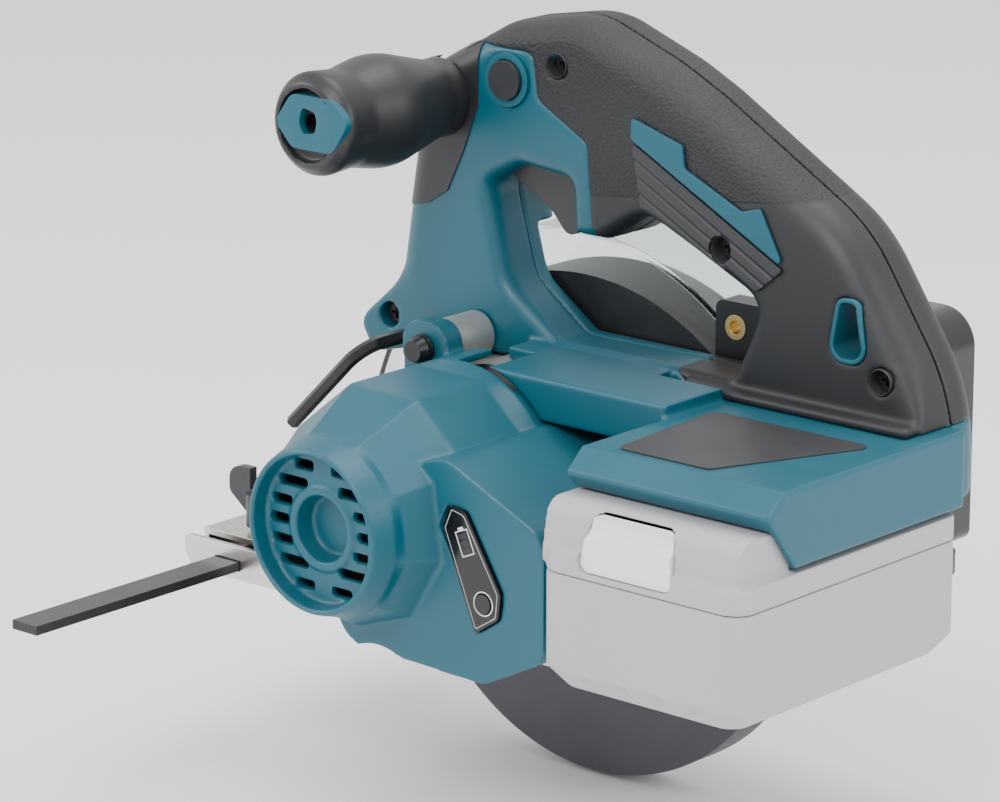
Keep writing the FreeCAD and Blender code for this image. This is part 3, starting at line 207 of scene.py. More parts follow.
def dust_film() -> bpy.types.NodeTree:
    """Thin dust that lies on faces turned upwards.

    Returns:
        A group that gives a mask of the dust.
    """
    made = GroupMaker("dust_film", {"Amount": 0.05}, ("Mask",))
    facing = made.add("ShaderNodeNewGeometry").outputs["Normal"]
    upward = made.add("ShaderNodeSeparateXYZ", {0: facing}).outputs["Z"]
    place = made.add("ShaderNodeTexCoord").outputs["Object"]
    noise = made.add("ShaderNodeTexNoise", {"Vector": place, "Scale": 55.0, "Detail": 6.0})
    lying = made.add("ShaderNodeMath", {0: upward, 1: noise.outputs["Fac"]}, operation="MULTIPLY")
    film = made.add("ShaderNodeMath", {0: lying.outputs[0], 1: made.start.outputs["Amount"]},
                    operation="MULTIPLY")
    film.use_clamp = True
    made.give("Mask", film.outputs[0])
    return made.tree


def drawn_lines() -> bpy.types.NodeTree:
    """Long fine scratches of rolled or brushed metal.

    Returns:
        A group that gives a height and a tone.
    """
    made = GroupMaker("drawn_lines", {"Along X": 60.0, "Across": 3000.0}, ("Height", "Tone"))
    place = made.add("ShaderNodeTexCoord").outputs["Object"]
    size = made.add("ShaderNodeCombineXYZ", {0: made.start.outputs["Along X"], 1: made.start.outputs["Across"],
                                             2: made.start.outputs["Across"]})
    drawn = made.add("ShaderNodeVectorMath", {0: place, 1: size.outputs[0]}, operation="MULTIPLY")
    lines = made.add("ShaderNodeTexNoise", {"Vector": drawn.outputs[0], "Scale": 1.0, "Detail": 2.0})
    cloud = made.add("ShaderNodeTexNoise", {"Vector": place, "Scale": 40.0, "Detail": 3.0})
    made.give("Height", lines.outputs["Fac"])
    made.give("Tone", cloud.outputs["Fac"])
    return made.tree


GROUPS = {"grain": fine_grain(), "pebble": pebble_skin(), "wear": edge_wear(), "dust": dust_film(),
          "lines": drawn_lines()}


# ---------------------------------------------------------------- finishes
@dataclass(frozen=True)
class Finish:
    """One finish of the saw, with the numbers its shader takes."""

    slot: str
    colour: Point
    tone: float = 0.12
    roughness: float = 0.42
    swing: float = 0.12
    metallic: float = 0.0
    surface: Surface = Surface.MOULDED
    grain: float = 0.6
    relief: float = 0.02
    wear: float = 0.25
    dust: float = 0.04
    corner: float = 0.35
    coat: float = 0.0
    glass: float = 0.0
    line: Point = (0.0, 0.0, -1.0)
    name: str = ""

    def build(self) -> bpy.types.Material:
        """Makes the material.

        Returns:
            The material, named after the finish.
        """
        material = bpy.data.materials.new("finish_" + (self.name or self.slot))
        material.use_nodes = True
        tree = material.node_tree
        tree.nodes.clear()
        shader = add_node(tree, "ShaderNodeBsdfPrincipled")
        out = add_node(tree, "ShaderNodeOutputMaterial")
        tree.links.new(shader.outputs[0], out.inputs[0])
        height, tone, zone = self.relief_sockets(tree)
        self.colour_in(tree, shader, tone)
        self.roughness_in(tree, shader, tone, zone)
        self.normal_in(tree, shader, height, zone)
        shader.inputs["Metallic"].default_value = self.metallic
        shader.inputs["Coat Weight"].default_value = self.coat
        shader.inputs["Coat Roughness"].default_value = COAT_ROUGHNESS
        if self.glass:
            shader.inputs["Transmission Weight"].default_value = self.glass
            shader.inputs["IOR"].default_value = ACRYLIC_IOR
        return material

    def relief_sockets(self, tree: bpy.types.NodeTree) -> tuple[bpy.types.NodeSocket | None, ...]:
        """Adds the relief groups.

        Args:
            tree: The material's tree.

        Returns:
            Sockets of the height, the slow tone and the textured zone, with None where no zone is.
        """
        if self.surface is Surface.BRUSHED:
            lines = add_node(tree, "ShaderNodeGroup", node_tree=GROUPS["lines"])
            return lines.outputs["Height"], lines.outputs["Tone"], None
        scale = 1 / (self.grain * MM)
        grain = add_node(tree, "ShaderNodeGroup", {"Scale": scale}, node_tree=GROUPS["grain"])
        if self.surface is Surface.PEBBLED:
            slope_x, slope_z, offset = self.line
            pebble = add_node(tree, "ShaderNodeGroup", {"Scale": scale, "Line X": slope_x, "Line Z": slope_z,
                                                        "Offset": offset}, node_tree=GROUPS["pebble"])
            return pebble.outputs["Height"], grain.outputs["Tone"], pebble.outputs["Zone"]
        return grain.outputs["Height"], grain.outputs["Tone"], None

    def colour_in(self, tree: bpy.types.NodeTree, shader: bpy.types.Node, tone: bpy.types.NodeSocket) -> None:
        """Feeds the base colour with tone, worn edges and dust.

        Args:
            tree: The material's tree.
            shader: The Principled BSDF.
            tone: The slow tone's socket.
        """
        darker = tuple(part * (1 - self.tone) for part in self.colour) + (1.0,)
        lighter = tuple(min(part * (1 + self.tone), 1.0) for part in self.colour) + (1.0,)
        base = add_node(tree, "ShaderNodeMix", {0: tone, 6: darker, 7: lighter}, data_type="RGBA")
        wear = add_node(tree, "ShaderNodeGroup", {"Amount": self.wear}, node_tree=GROUPS["wear"])
        rubbed = tuple(min(part * WORN_GAIN + WORN_LIFT, 1.0) for part in self.colour) + (1.0,)
        worn = add_node(tree, "ShaderNodeMix", {0: wear.outputs[0], 6: base.outputs[2], 7: rubbed},
                        data_type="RGBA")
        film = add_node(tree, "ShaderNodeGroup", {"Amount": self.dust}, node_tree=GROUPS["dust"])
        dusty = add_node(tree, "ShaderNodeMix", {0: film.outputs[0], 6: worn.outputs[2], 7: DUST_COLOUR},
                         data_type="RGBA")
        tree.links.new(dusty.outputs[2], shader.inputs["Base Color"])

    def roughness_in(self, tree: bpy.types.NodeTree, shader: bpy.types.Node, tone: bpy.types.NodeSocket,
                     zone: bpy.types.NodeSocket | None) -> None:
        """Feeds the roughness, which is higher in a textured zone.

        Args:
            tree: The material's tree.
            shader: The Principled BSDF.
            tone: The slow tone's socket.
            zone: The textured zone's mask.
        """
        low, high = self.roughness - self.swing / 2, self.roughness + self.swing / 2
        rough = add_node(tree, "ShaderNodeMapRange", {"Value": tone, "To Min": low, "To Max": high})
        last = rough.outputs[0]
        if zone:
            extra = add_node(tree, "ShaderNodeMath", {0: zone, 1: ZONE_ROUGHNESS}, operation="MULTIPLY")
            last = add_node(tree, "ShaderNodeMath", {0: last, 1: extra.outputs[0]}, operation="ADD").outputs[0]
        tree.links.new(last, shader.inputs["Roughness"])

    def normal_in(self, tree: bpy.types.NodeTree, shader: bpy.types.Node, height: bpy.types.NodeSocket,
                  zone: bpy.types.NodeSocket | None) -> None:
        """Feeds the normal with softened corners and the fine relief.

        Args:
            tree: The material's tree.
            shader: The Principled BSDF.
            height: The relief's height.
            zone: The textured zone's mask.
        """
        if zone:
            height = add_node(tree, "ShaderNodeMath", {0: height, 1: zone}, operation="MULTIPLY").outputs[0]
        bump = add_node(tree, "ShaderNodeBump", {"Height": height, "Distance": self.relief * MM,
                                                 "Strength": 1.0})
        if self.corner:
            corner = add_node(tree, "ShaderNodeBevel", {"Radius": self.corner * MM}, samples=CORNER_SAMPLES)
            tree.links.new(corner.outputs[0], bump.inputs["Normal"])
        tree.links.new(bump.outputs[0], shader.inputs["Normal"])


TEAL = (0.0, 0.085, 0.125)
RUBBER = (0.012, 0.0125, 0.0145)
BLACK = (0.008, 0.008, 0.009)
FINISHES = {
    finish.name or finish.slot: finish.build() for finish in (
        Finish("teal_shell", TEAL, tone=0.05, roughness=0.42, grain=0.35, relief=0.03),
        Finish("teal_trim", TEAL, tone=0.05, roughness=0.5, grain=0.35, relief=0.05),
        Finish("grip_rubber", RUBBER, roughness=0.5, surface=Surface.PEBBLED, grain=1.1,
               relief=0.35, line=(0.11, 1.0, 0.1355), wear=0.1),
        Finish("grip_rubber", RUBBER, roughness=0.42, grain=0.5, relief=0.04, wear=0.1,
               name="smooth_rubber"),
        Finish("dark_plastic", (0.02, 0.021, 0.024), roughness=0.42, grain=0.4, relief=0.03),
        Finish("black_casting", BLACK, roughness=0.34, surface=Surface.CAST, grain=0.9,
               relief=0.06),
        Finish("black_plastic", BLACK, roughness=0.22, grain=0.5, relief=0.01),
        Finish("clear_plastic", (0.86, 0.92, 0.93), tone=0.03, roughness=0.06, swing=0.04, glass=1.0,
               relief=0.0, wear=0.0, dust=0.0),
        Finish("guard_paint", (0.055, 0.05, 0.065), roughness=0.5, grain=0.5, relief=0.03),
        Finish("cast_aluminium", (0.5, 0.5, 0.48), roughness=0.5, metallic=0.85, surface=Surface.CAST,
               grain=0.8, relief=0.06),
        Finish("bright_steel", (0.62, 0.6, 0.57), roughness=0.3, metallic=1.0, surface=Surface.BRUSHED,
               relief=0.01),
        Finish("black_steel", (0.014, 0.014, 0.015), roughness=0.3, metallic=0.4, grain=0.5, relief=0.02,
               wear=0.6),
        Finish("machined_steel", (0.55, 0.55, 0.55), roughness=0.28, metallic=1.0, surface=Surface.BRUSHED,
               relief=0.01),
        Finish("blade_steel", (0.5, 0.5, 0.5), roughness=0.32, metallic=1.0, surface=Surface.BRUSHED,
               relief=0.01),
        Finish("magnet_iron", (0.2, 0.2, 0.2), roughness=0.4, metallic=0.9, surface=Surface.CAST),
        Finish("copper_winding", (0.5, 0.22, 0.1), roughness=0.4, metallic=0.8, surface=Surface.BRUSHED),
        Finish("insert_brass", (0.72, 0.5, 0.2), roughness=0.3, metallic=1.0, surface=Surface.BRUSHED,
               relief=0.01),
        Finish("board_resin", (0.02, 0.09, 0.05), roughness=0.35),
        Finish("battery_grey", (0.42, 0.42, 0.43), tone=0.03, roughness=0.5, grain=0.4, relief=0.03, wear=0.1),
        Finish("button_white", (0.86, 0.86, 0.84), tone=0.02, roughness=0.35, relief=0.01, wear=0.0),
        Finish("cell_sleeve", (0.15, 0.3, 0.25), roughness=0.3),
        Finish("display_gloss", (0.004, 0.004, 0.005), tone=0.02, roughness=0.12, swing=0.05, relief=0.0,
               wear=0.0, dust=0.01),
    )
}


# ---------------------------------------------------------------- mesh helpers
def wear_finish(piece: bpy.types.Object, finish: str) -> None:
    """Gives a piece one finish."""
    piece.data.materials.clear()
    piece.data.materials.append(FINISHES[finish])


def new_piece(name: str, mesh: bpy.types.Mesh, body: str, slot: str, finish: str = "") -> bpy.types.Object:
    """Makes a piece that rides on a body.

    Args:
        name: The piece's name.
        mesh: Its mesh, in metres at the rest pose.
        body: The body it rides on.
        slot: The record's material slot.
        finish: The finish, where it isn't the slot's own.

    Returns:
        The new object.
    """
    piece = bpy.data.objects.new(name, mesh)
    bpy.context.scene.collection.objects.link(piece)
    wear_finish(piece, finish or slot)
    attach(piece, body)
    return piece


def mesh_from(made: bmesh.types.BMesh, name: str) -> bpy.types.Mesh:
    """Turns an edit mesh into a mesh and frees it.

    Args:
        made: The edit mesh.
        name: The mesh's name.

    Returns:
        The mesh.
    """
    mesh = bpy.data.meshes.new(name)
    made.to_mesh(mesh)
    made.free()
    return mesh


def spots_of(piece: bpy.types.Object) -> np.ndarray:
    """Reads a piece's vertices.

    Args:
        piece: The piece.

    Returns:
        Rows of (x, y, z) in millimetres.
    """
    spots = np.empty(len(piece.data.vertices) * 3)
    piece.data.vertices.foreach_get("co", spots)
    return spots.reshape(-1, 3) / MM


def place_spots(piece: bpy.types.Object, spots: np.ndarray) -> None:
    """Puts a piece's vertices at rows of (x, y, z) in millimetres."""
    piece.data.vertices.foreach_set("co", (spots * MM).ravel())
    piece.data.update()


def settle(piece: bpy.types.Object) -> None:
    """Turns the piece's modifiers into mesh and keeps its finish.

    Args:
        piece: The piece, which has one finish.
    """
    finish = piece.data.materials[0]
    bpy.context.view_layer.update()
    shaped = bpy.data.meshes.new_from_object(piece.evaluated_get(bpy.context.evaluated_depsgraph_get()))
    piece.modifiers.clear()
    piece.data = shaped
    shaped.materials.clear()
    shaped.materials.append(finish)


def smooth(piece: bpy.types.Object) -> bpy.types.Object:
    """Shades a piece smooth, and keeps its sharp edges.

    Args:
        piece: The piece.

    Returns:
        The same piece.
    """
    piece.data.polygons.foreach_set("use_smooth", [True] * len(piece.data.polygons))
    piece.data.set_sharp_from_angle(angle=SMOOTH_LIMIT)
    return piece


@dataclass(frozen=True)
class Moulding:
    """Turns a sharp CAD node into a piece with rounded corners."""

    node: str
    body: str
    slot: str
    voxel: float = 0.7
    smooth: int = 4
    finish: str = ""
    rounding: "HandleRounding | None" = None

    def build(self) -> bpy.types.Object:
        """Makes the rounded piece.

        Returns:
            The piece, which replaces its node.
        """
        mesh = frame["nodes"][self.node].data.copy()
        piece = new_piece("moulded_" + self.node, mesh, self.body, self.slot, self.finish)
        weld = piece.modifiers.new("weld", "WELD")
        weld.merge_threshold = WELD_DISTANCE
        self.remesh(piece)
        if self.rounding:
            settle(piece)
            self.rounding.shape(piece)
            self.remesh(piece)
        relax = piece.modifiers.new("relax", "SMOOTH")
        relax.factor = 0.5
        relax.iterations = self.smooth
        settle(piece)
        smooth(piece)
        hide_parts(self.node)
        log.info("moulded %s: %d faces", self.node, len(piece.data.polygons))
        return piece

    def remesh(self, piece: bpy.types.Object) -> None:
        """Adds an even fine mesh to the piece's modifiers.

        Args:
            piece: The piece.
        """
        even = piece.modifiers.new("remesh", "REMESH")
        even.mode = "VOXEL"
        even.voxel_size = self.voxel * MM


def plate(outline: list[Flat], low: float, high: float, hole: list[Flat] | None = None) -> bpy.types.Mesh:
    """A flat plate that stands on an XZ outline.

    Args:
        outline: Its outline's points, in millimetres.
        low: The Y level of its back.
        high: The Y level of its face.
        hole: A hole's outline, with as many points as the plate's.

    Returns:
        The mesh.
    """
    made = bmesh.new()
    rings = [[made.verts.new((x * MM, y * MM, z * MM)) for x, z in loop]
             for loop in ([outline, hole] if hole else [outline]) for y in (low, high)]
    count = len(outline)
    pairs = ((0, 1), (3, 2), (1, 3), (2, 0)) if hole else ((0, 1),)
    for one, two in pairs:
        for step in range(count):
            after = (step + 1) % count
            made.faces.new((rings[one][step], rings[one][after], rings[two][after], rings[two][step]))
    if not hole:
        made.faces.new(rings[0])
        made.faces.new(reversed(rings[1]))
    bmesh.ops.recalc_face_normals(made, faces=made.faces)
    return mesh_from(made, "plate")


def oval_like(outline: list[Flat], centre: Flat, radii: Flat) -> list[Flat]:
    """An oval with a point in the direction of each point of an outline.

    Args:
        outline: The outline round it.
        centre: The oval's centre.
        radii: Its half width and half height.

    Returns:
        The oval's points.
    """
    angles = [math.atan2(b - centre[1], a - centre[0]) for a, b in outline]
    return [(centre[0] + radii[0] * math.cos(angle), centre[1] + radii[1] * math.sin(angle))
            for angle in angles]


def turn_to(axis: str) -> Matrix:
    """The turn that lays +Z along an axis."""
    return {"X": Matrix.Rotation(math.pi / 2, 4, "Y"), "Y": Matrix.Rotation(-math.pi / 2, 4, "X"),
            "Z": Matrix.Identity(4)}[axis]


def lathe(profile: list[Flat], centre: Point, axis: str, steps: int = 48,
          closed: bool = False) -> bpy.types.Mesh:
    """Spins an outline about an axis.

    Args:
        profile: (radius, height) pairs in millimetres.
        centre: Where the axis starts, in millimetres.
        axis: X, Y or Z.
        steps: Number of steps round.
        closed: Whether the outline's end joins its start, as in a ring.

    Returns:
        The mesh.
    """
    made = bmesh.new()
    rings = []
    for radius, height in profile:
        ring = []
        for step in range(steps):
            angle = 2 * math.pi * step / steps
            ring.append(made.verts.new((radius * math.cos(angle), radius * math.sin(angle), height)))
        rings.append(ring)
    for low, high in zip(rings, rings[1:] + rings[:1] if closed else rings[1:]):
        for step in range(steps):
            after = (step + 1) % steps
            made.faces.new((low[step], low[after], high[after], high[step]))
    if not closed:
        made.faces.new(reversed(rings[0]))
        made.faces.new(rings[-1])
    bmesh.ops.transform(made, matrix=turn_to(axis), verts=made.verts)
    bmesh.ops.translate(made, vec=Vector(centre), verts=made.verts)
    bmesh.ops.scale(made, vec=(MM, MM, MM), verts=made.verts)
    bmesh.ops.remove_doubles(made, verts=made.verts, dist=1e-7)
    bmesh.ops.recalc_face_normals(made, faces=made.faces)
    return mesh_from(made, "turned")


def rounded(corners: list[Point], steps: int = 8) -> list[Flat]:
    """Rounds the corners of a closed outline.

    Args:
        corners: (a, b, radius) of each corner, anticlockwise.
        steps: Points along each rounded corner.

    Returns:
        The outline's points.
    """
    points = []
    count = len(corners)
    for index, (a, b, radius) in enumerate(corners):
        here = Vector((a, b))
        before = (Vector(corners[index - 1][:2]) - here).normalized()
        after = (Vector(corners[(index + 1) % count][:2]) - here).normalized()
        if radius <= 0:
            points.append((a, b))
            continue
        angle = before.angle(after)
        reach = radius / math.tan(angle / 2)
        start, end = here + before * reach, here + after * reach
        for step in range(steps + 1):
            t = step / steps
            spot = start * (1 - t) ** 2 + here * (2 * t * (1 - t)) + end * t ** 2
            points.append((spot.x, spot.y))
    return points


def depth_inside(points: np.ndarray, outline: list[Flat]) -> np.ndarray:
    """Distance of points from an outline, positive inside it.

    Args:
        points: Rows of (a, b).
        outline: The closed outline.

    Returns:
        One signed distance for each point.
    """
    start = np.array(outline)
    end = np.roll(start, -1, axis=0)
    nearest = np.full(len(points), np.inf)
    crossings = np.zeros(len(points), dtype=int)
    for one, two in zip(start, end):
        run = two - one
        share = np.clip(((points - one) @ run) / max(float(run @ run), 1e-9), 0, 1)
        nearest = np.minimum(nearest, np.hypot(*(points - one - share[:, None] * run).T))
        above = (one[1] > points[:, 1]) != (two[1] > points[:, 1])
        with np.errstate(divide="ignore", invalid="ignore"):
            at = one[0] + (points[:, 1] - one[1]) * run[0] / run[1]
        crossings += (above & (points[:, 0] < at)).astype(int)
    return np.where(crossings % 2 == 1, nearest, -nearest)


HANDLE_OUTER = rounded([(-150, 60.2, 2), (-55, 60.2, 2), (-55, 72, 3), (30, 82.3, 2), (71, 72, 5), (77, 82, 5),
                        (62, 98, 20), (58, 122, 30), (50, 168, 10), (16, 190, 24), (-14, 196, 26),
                        (-46, 182, 70), (-118, 140, 55), (-150, 92, 60)])
HANDLE_OPENING = rounded([(-78, 89, 5), (-8, 89, 6), (13, 104, 14), (22, 136, 7), (8, 143, 6), (-13, 141, 4),
                          (-14, 124, 3), (-26, 124, 4), (-43, 135, 12), (-88, 114, 8)])


@dataclass(frozen=True)
class HandleRounding:
    """The full cross-section of the handle's loop, fuller at its outer side."""

    half: float = 16.0
    outer_depth: float = 10.0
    outer_drop: float = 10.0
    inner_depth: float = 5.0
    inner_drop: float = 4.5
    foot: Flat = (86.0, 104.0)
    margin: float = 3.0
    crown: float = 172.0
    crown_share: float = 0.85

    def shape(self, piece: bpy.types.Object) -> None:
        """Draws the flat sides in towards the loop's outlines.

        Args:
            piece: A finely meshed piece of the handle, with no modifiers.
        """
        spots = spots_of(piece)
        flat = spots[:, [0, 2]]
        fade = np.clip((flat[:, 1] - self.foot[0]) / (self.foot[1] - self.foot[0]), 0, 1)
        fade = np.where(spots[:, 1] < 0, 1.0, fade)
        allowed = np.full(len(spots), self.half)
        for depth, reach, drop in ((depth_inside(flat, HANDLE_OUTER), self.outer_depth, self.outer_drop),
                                   (-depth_inside(flat, HANDLE_OPENING), self.inner_depth, self.inner_drop)):
            near = 1 - np.clip(depth / reach, 0, 1)
            allowed = allowed - drop * (1 - np.sqrt(1 - near ** 2)) * fade
        ours = np.abs(spots[:, 1]) < self.half + self.margin
        spots[:, 1] *= np.where(ours, allowed / self.half, 1.0)
        over = spots[:, 2] - self.crown
        spots[:, 2] = np.where(over > 0, self.crown + over * self.crown_share, spots[:, 2])
        place_spots(piece, spots)


@dataclass(frozen=True)
class SkinPatch:
    """A thin skin laid over part of a moulded piece, cut to a convex outline seen from the side."""

    name: str
    corners: list[Flat]
    thickness: float = 0.5
    slot: str = "grip_rubber"
    finish: str = "smooth_rubber"
    wall: float = 3.0
    inside: float = 12.6
    joint: float = 0.6

    def build(self, base: bpy.types.Object) -> bpy.types.Object:
        """Makes the skin.

        Args:
            base: The moulded piece that it lies on.

        Returns:
            The skin.
        """
        made = bmesh.new()
        made.from_mesh(base.data)
        for one, two in zip(self.corners, self.corners[1:] + self.corners[:1]):
            outward = Vector((two[1] - one[1], 0, one[0] - two[0]))
            bmesh.ops.bisect_plane(made, geom=made.verts[:] + made.edges[:] + made.faces[:],
                                   plane_co=Vector((one[0], 0, one[1])) * MM, plane_no=outward,
                                   clear_outer=True)
        centres = np.array([face.calc_center_median()[:] for face in made.faces]) / MM
        depth = np.minimum(depth_inside(centres[:, [0, 2]], HANDLE_OUTER),
                           -depth_inside(centres[:, [0, 2]], HANDLE_OPENING))
        off = np.abs(centres[:, 1])
        inner = (depth > self.wall) & (off < self.inside) | (off < self.joint)
        bmesh.ops.delete(made, geom=[face for face, gone in zip(made.faces[:], inner) if gone],
                         context="FACES")
        piece = new_piece(self.name, mesh_from(made, self.name), "frame", self.slot, self.finish)
        solid = piece.modifiers.new("thickness", "SOLIDIFY")
        solid.thickness = self.thickness * MM
        solid.offset = 1.0
        settle(piece)
        smooth(piece)
        return piece


# ---------------------------------------------------------------- sub-assemblies
@dataclass
class Handle:
    """The two shells, their soft skins and what sits in them."""

    voxel: float = 0.65
    trim_voxel: float = 0.3
    body: str = "frame"
    rounding: HandleRounding = field(default_factory=HandleRounding)
    column: tuple[Flat, ...] = ((24, 160), (30, 145), (37, 131), (45, 126), (80, 117), (80, 176), (24, 180))
    wells: tuple[Flat, ...] = ((-8, 177), (-74, 129), (-134, 98))
    well_start: float = 9.7
    well_section: tuple[Flat, ...] = ((4.15, 0), (4.15, 6.2), (3.9, 6.5), (3.75, 6.2), (3.75, 0))

    def build(self) -> None:
        """Makes the shells, the skins and the small trim."""
        for side in ("left", "right"):
            shell = Moulding(side + "_handle_shell", self.body, "teal_shell", self.voxel, 3,
                             rounding=self.rounding).build()
            Moulding(side + "_rubber_grip", self.body, "grip_rubber", self.voxel, 4,
                     rounding=self.rounding).build()
            SkinPatch(side + "_column_skin", list(self.column)).build(shell)
        for node, slot in (("ribbed_panels", "dark_plastic"), ("accent_stripes", "teal_trim"),
                           ("strap_hole_liner", "teal_trim")):
            Moulding(node, self.body, slot, self.trim_voxel, 1, rounding=self.rounding).build()
        for number, (x, z) in enumerate(self.wells):
            ring = lathe(list(self.well_section), (x, self.well_start, z), "Y", closed=True)
            smooth(new_piece(f"screw_well_{number}", ring, self.body, "dark_plastic"))


@dataclass
class Battery:
    """The pack's cases."""

    voxel: float = 0.65
    bottom: float = 15.5
    edge: float = 6.5
    slope: float = 0.75
    middle: Flat = (-117.0, 54.0)
    half_length: float = 37.5
    half_width: float = 53.5
    scoops: int = 4
    scoop_start: float = -138.0
    scoop_pitch: float = 14.0
    scoop_rise: float = 4.0
    scoop_radius: float = 2.8
    scoop_depth: float = 1.3
    scoop_side: float = 60.0

    def build(self) -> None:
        """Makes the cases with soft corners."""
        lower = Moulding("battery_lower_case", "battery", "battery_grey", self.voxel, 4).build()
        self.chamfer(lower)
        Moulding("battery_upper_case", "battery", "battery_grey", self.voxel, 4).build()

    def chamfer(self, piece: bpy.types.Object) -> None:
        """Draws in the lower case's bottom edges, and presses scoops into the long chamfer.

        Args:
            piece: The lower case.
        """
        for vertex in piece.data.vertices:
            x, y, z = (value / MM for value in vertex.co)
            draw = max(self.bottom + self.edge - z, 0.0) * self.slope
            for number in range(self.scoops):
                off = math.hypot(x - self.scoop_start - number * self.scoop_pitch,
                                 z - self.bottom - self.scoop_rise)
                if y > self.scoop_side and off < self.scoop_radius:
                    draw += self.scoop_depth * (1 - (off / self.scoop_radius) ** 2)
            for axis, half in enumerate((self.half_length, self.half_width)):
                centre = self.middle[axis]
                vertex.co[axis] = (centre + ((x, y)[axis] - centre) * (1 - draw / half)) * MM


@dataclass
class MotorSide:
    """The motor's housing and the printed gauge.

    Each facet field says where the flats stop, along the motor or out from its axis, and over what
    distance they fade.
    """

    axis_height: float = 48.5
    ridges: int = 9
    first_ridge: float = 0.15
    facet_start: Flat = (52.0, 6.0)
    facet_end: Flat = (112.0, 4.0)
    facet_rim: Flat = (45.0, 4.0)
    facet_core: Flat = (26.0, 3.0)
    voxel: float = 0.6
    print_level: float = 99.02
    print_height: float = 0.1
    border_height: float = 0.06
    icon: Flat = (-44.0, 49.5)
    button: Flat = (-51.3, 32.0)

    def build(self) -> None:
        """Makes the housing."""
        self.facets(Moulding("motor_housing", "frame", "teal_shell", self.voxel, 3).build())
        self.gauge()

    def facets(self, piece: bpy.types.Object) -> None:
        """Flattens the barrel between its ridges, fading out at the lip and towards the bulge.

        Args:
            piece: The motor's housing.
        """
        spots = spots_of(piece)
        up = spots[:, 2] - self.axis_height
        reach = np.hypot(spots[:, 0], up)
        step = 2 * math.pi / self.ridges
        turn = np.mod(np.arctan2(up, spots[:, 0]) + self.first_ridge, step) - step / 2
        flat = math.cos(step / 2) / np.cos(turn)
        level = spots[:, 1]
        share = np.ones(len(spots))
        for value, (edge, fade), sign in ((level, self.facet_start, 1), (level, self.facet_end, -1),
                                          (reach, self.facet_rim, -1), (reach, self.facet_core, 1)):
            share *= np.clip(sign * (value - edge) / fade, 0, 1)
        scale = 1 - share * (1 - flat)
        spots[:, 0] *= scale
        spots[:, 2] = self.axis_height + up * scale
        place_spots(piece, spots)

    def gauge(self) -> None:
        """Makes the printed battery outline, its bars and the ring round the button."""
        along = Vector((0.39, 0.92))
        across = Vector((0.92, -0.39))
        marks = {"gauge_outline": ((0, 0, 2.6, 4.0), (0, 0, 2.25, 3.65)),
                 "gauge_tip": ((0, 4.5, 1.1, 0.4), None),
                 "gauge_bar_low": ((0, -2.2, 1.7, 0.8), None),
                 "gauge_bar_mid": ((0, 0, 1.7, 0.8), None),
                 "gauge_bar_high": ((0, 2.2, 1.7, 0.8), None)}
        for name, loops in marks.items():
            outlines = [self.square(loop, along, across) if loop else None for loop in loops]
            finish = "dark_plastic" if "bar" in name else "button_white"
            low, high = self.print_level, self.print_level + self.print_height
            new_piece(name, plate(outlines[0], low, high, outlines[1]), "frame", finish)
        border = [(-56.2, 28.4, 2), (-48.2, 23.4, 0.6), (-36, 52.8, 0.6), (-38.7, 59, 0.6), (-43.6, 58, 3.2),
                  (-57, 35.8, 2.4)]
        inner = [(-55.9, 28.6, 1.8), (-48.3, 23.8, 0.5), (-36.3, 52.8, 0.5), (-38.9, 58.7, 0.5),
                 (-43.4, 57.7, 3), (-56.7, 35.7, 2.2)]
        frame_line = plate(rounded(border), self.print_level, self.print_level + self.border_height,
                           rounded(inner))
        new_piece("gauge_border", frame_line, "frame", "battery_grey")
        ring = lathe([(3.45, 0), (3.45, 0.12), (3.85, 0.12), (3.85, 0)],
                     (self.button[0], self.print_level, self.button[1]), "Y", closed=True)
        new_piece("gauge_ring", ring, "frame", "button_white")

    def square(self, sizes: tuple[float, ...], along: Vector, across: Vector) -> list[Flat]:
        """A slanted rectangle of the gauge.

        Args:
            sizes: Offset across, offset along, half width and half height.
            along: The gauge's long direction.
            across: Its short direction.

        Returns:
            The four corners.
        """
        side, up, wide, high = sizes
        centre = Vector(self.icon) + along * up + across * side
        signs = ((-1, -1), (1, -1), (1, 1), (-1, 1))
        corners = (centre + across * (a * wide) + along * (b * high) for a, b in signs)
        return [(spot.x, spot.y) for spot in corners]


@dataclass
class FrontGrip:
    """The side grip and its end cap."""

    voxel: float = 0.6
    plate_levels: Flat = (75.0, 77.9)
    hole_centre: Flat = (39.0, 162.5)
    hole_radii: Flat = (3.6, 4.6)
    edge: float = 0.5

    def build(self) -> None:
        """Makes the grip."""
        Moulding("front_grip", "frame", "grip_rubber", self.voxel, 5, "smooth_rubber").build()
        outline = rounded([(29, 153.5, 5), (46, 153.5, 5), (53, 161, 3), (46, 170.5, 5), (29, 170.5, 5),
                           (22, 164, 4)], 8)
        hole = oval_like(outline, self.hole_centre, self.hole_radii)
        cap = new_piece("grip_end_plate", plate(outline, *self.plate_levels, hole), "frame", "teal_trim")
        edge = cap.modifiers.new("edge", "BEVEL")
        edge.width = self.edge * MM
        edge.segments = 3
        edge.limit_method = "ANGLE"
        settle(cap)
        smooth(cap)
        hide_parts("front_grip_cap")


def dress_cad_nodes() -> None:
    """Gives every CAD node that still shows the finish of its slot."""
    for row in frame["record"]["subparts"]:
        wear_finish(frame["nodes"][row["node"]], row["material_slot"])


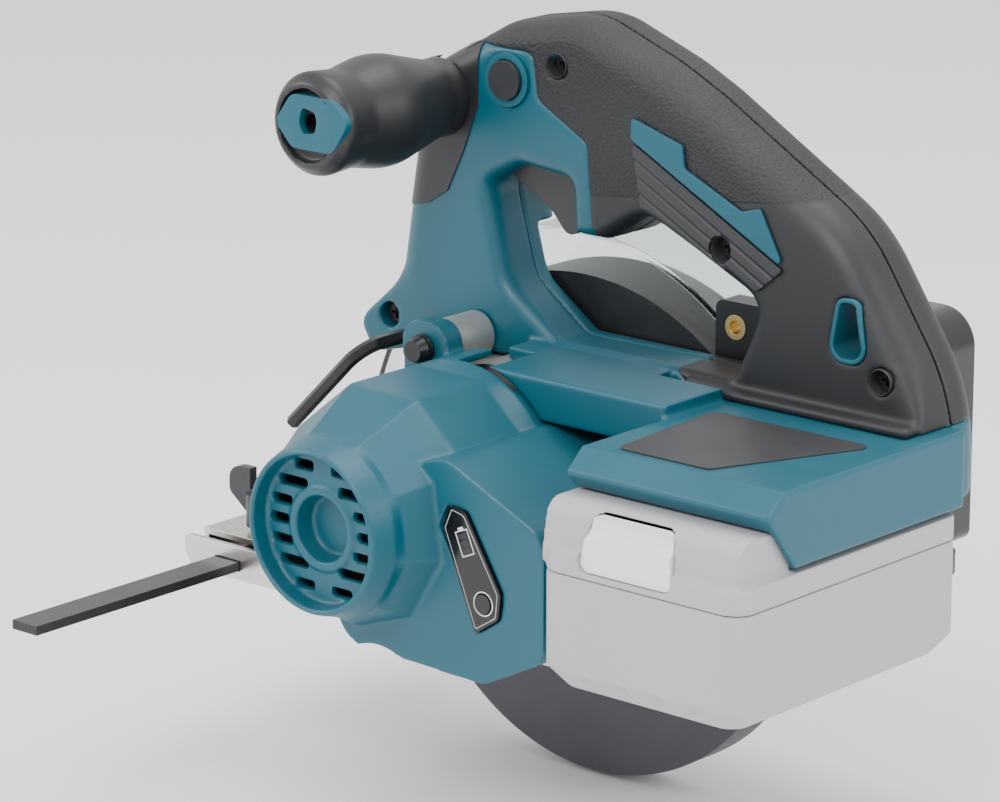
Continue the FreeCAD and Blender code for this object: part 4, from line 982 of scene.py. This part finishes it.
# ---------------------------------------------------------------- studio
@dataclass
class Studio:
    """Floor, lights, world and camera."""

    eye: Point = (-885.96, 1041.58, 437.81)
    yaw: float = 221.3
    pitch: float = 15.25
    lens: float = 160.1
    sensor: float = 36.0
    floor_level: float = -64.0
    floor_size: float = 12.0
    daylight: float = 1.1
    aim: Point = (0.0, 0.0, 0.08)

    def build(self) -> None:
        """Makes the whole studio."""
        self.floor()
        self.world()
        self.lights()
        self.camera()

    def floor(self) -> None:
        """A wide pale floor."""
        made = bmesh.new()
        bmesh.ops.create_grid(made, x_segments=1, y_segments=1, size=self.floor_size)
        mesh = mesh_from(made, "floor")
        floor = bpy.data.objects.new("studio_floor", mesh)
        floor.location.z = self.floor_level * MM
        bpy.context.scene.collection.objects.link(floor)
        paint = bpy.data.materials.new("floor_paint")
        paint.use_nodes = True
        shader = paint.node_tree.nodes["Principled BSDF"]
        noise = add_node(paint.node_tree, "ShaderNodeTexNoise", {"Scale": 9.0, "Detail": 4.0})
        tone = add_node(paint.node_tree, "ShaderNodeMix", {0: noise.outputs["Fac"], 6: (0.9, 0.9, 0.9, 1),
                                                           7: (0.93, 0.93, 0.93, 1)}, data_type="RGBA")
        paint.node_tree.links.new(tone.outputs[2], shader.inputs["Base Color"])
        shader.inputs["Roughness"].default_value = 0.85
        mesh.materials.append(paint)

    def world(self) -> None:
        """Even pale light from all round."""
        world = bpy.data.worlds.new("studio")
        world.use_nodes = True
        background = world.node_tree.nodes["Background"]
        background.inputs[0].default_value = (1.0, 1.0, 1.0, 1.0)
        background.inputs[1].default_value = self.daylight
        bpy.context.scene.world = world

    def lights(self) -> None:
        """Large soft panels round the saw."""
        panels = (("key", (-0.5, 1.3, 1.4), 0.8, 20.0), ("side", (1.3, 0.9, 0.9), 0.6, 11.0),
                  ("top", (-0.1, -0.3, 1.7), 1.2, 18.0), ("rear", (-1.5, -0.3, 0.7), 0.7, 8.0))
        for name, place, size, power in panels:
            lamp = bpy.data.lights.new(name, "AREA")
            lamp.size = size
            lamp.energy = power
            panel = bpy.data.objects.new(name + "_light", lamp)
            panel.location = place
            panel.rotation_euler = (Vector(self.aim) - Vector(place)).to_track_quat("-Z", "Y").to_euler()
            bpy.context.scene.collection.objects.link(panel)

    def camera(self) -> None:
        """The view from behind the battery, a little above."""
        yaw, pitch = math.radians(self.yaw), math.radians(self.pitch)
        back = Vector((math.sin(yaw) * math.cos(pitch), -math.cos(yaw) * math.cos(pitch), math.sin(pitch)))
        data = bpy.data.cameras.new("camera")
        data.lens = self.lens
        data.sensor_width = self.sensor
        data.clip_start = 0.01
        camera = bpy.data.objects.new("camera", data)
        camera.location = Vector(self.eye) * MM
        camera.rotation_euler = (-back).to_track_quat("-Z", "Y").to_euler()
        bpy.context.scene.collection.objects.link(camera)
        bpy.context.scene.camera = camera


def main() -> None:
    """Builds every sub-assembly in order."""
    logging.basicConfig(level=logging.INFO, format="%(message)s")
    Studio().build()
    dress_cad_nodes()
    for part in (Handle(), MotorSide(), FrontGrip(), Battery()):
        part.build()
        log.info("built %s", type(part).__name__)


if __name__ == "__main__":
    main()
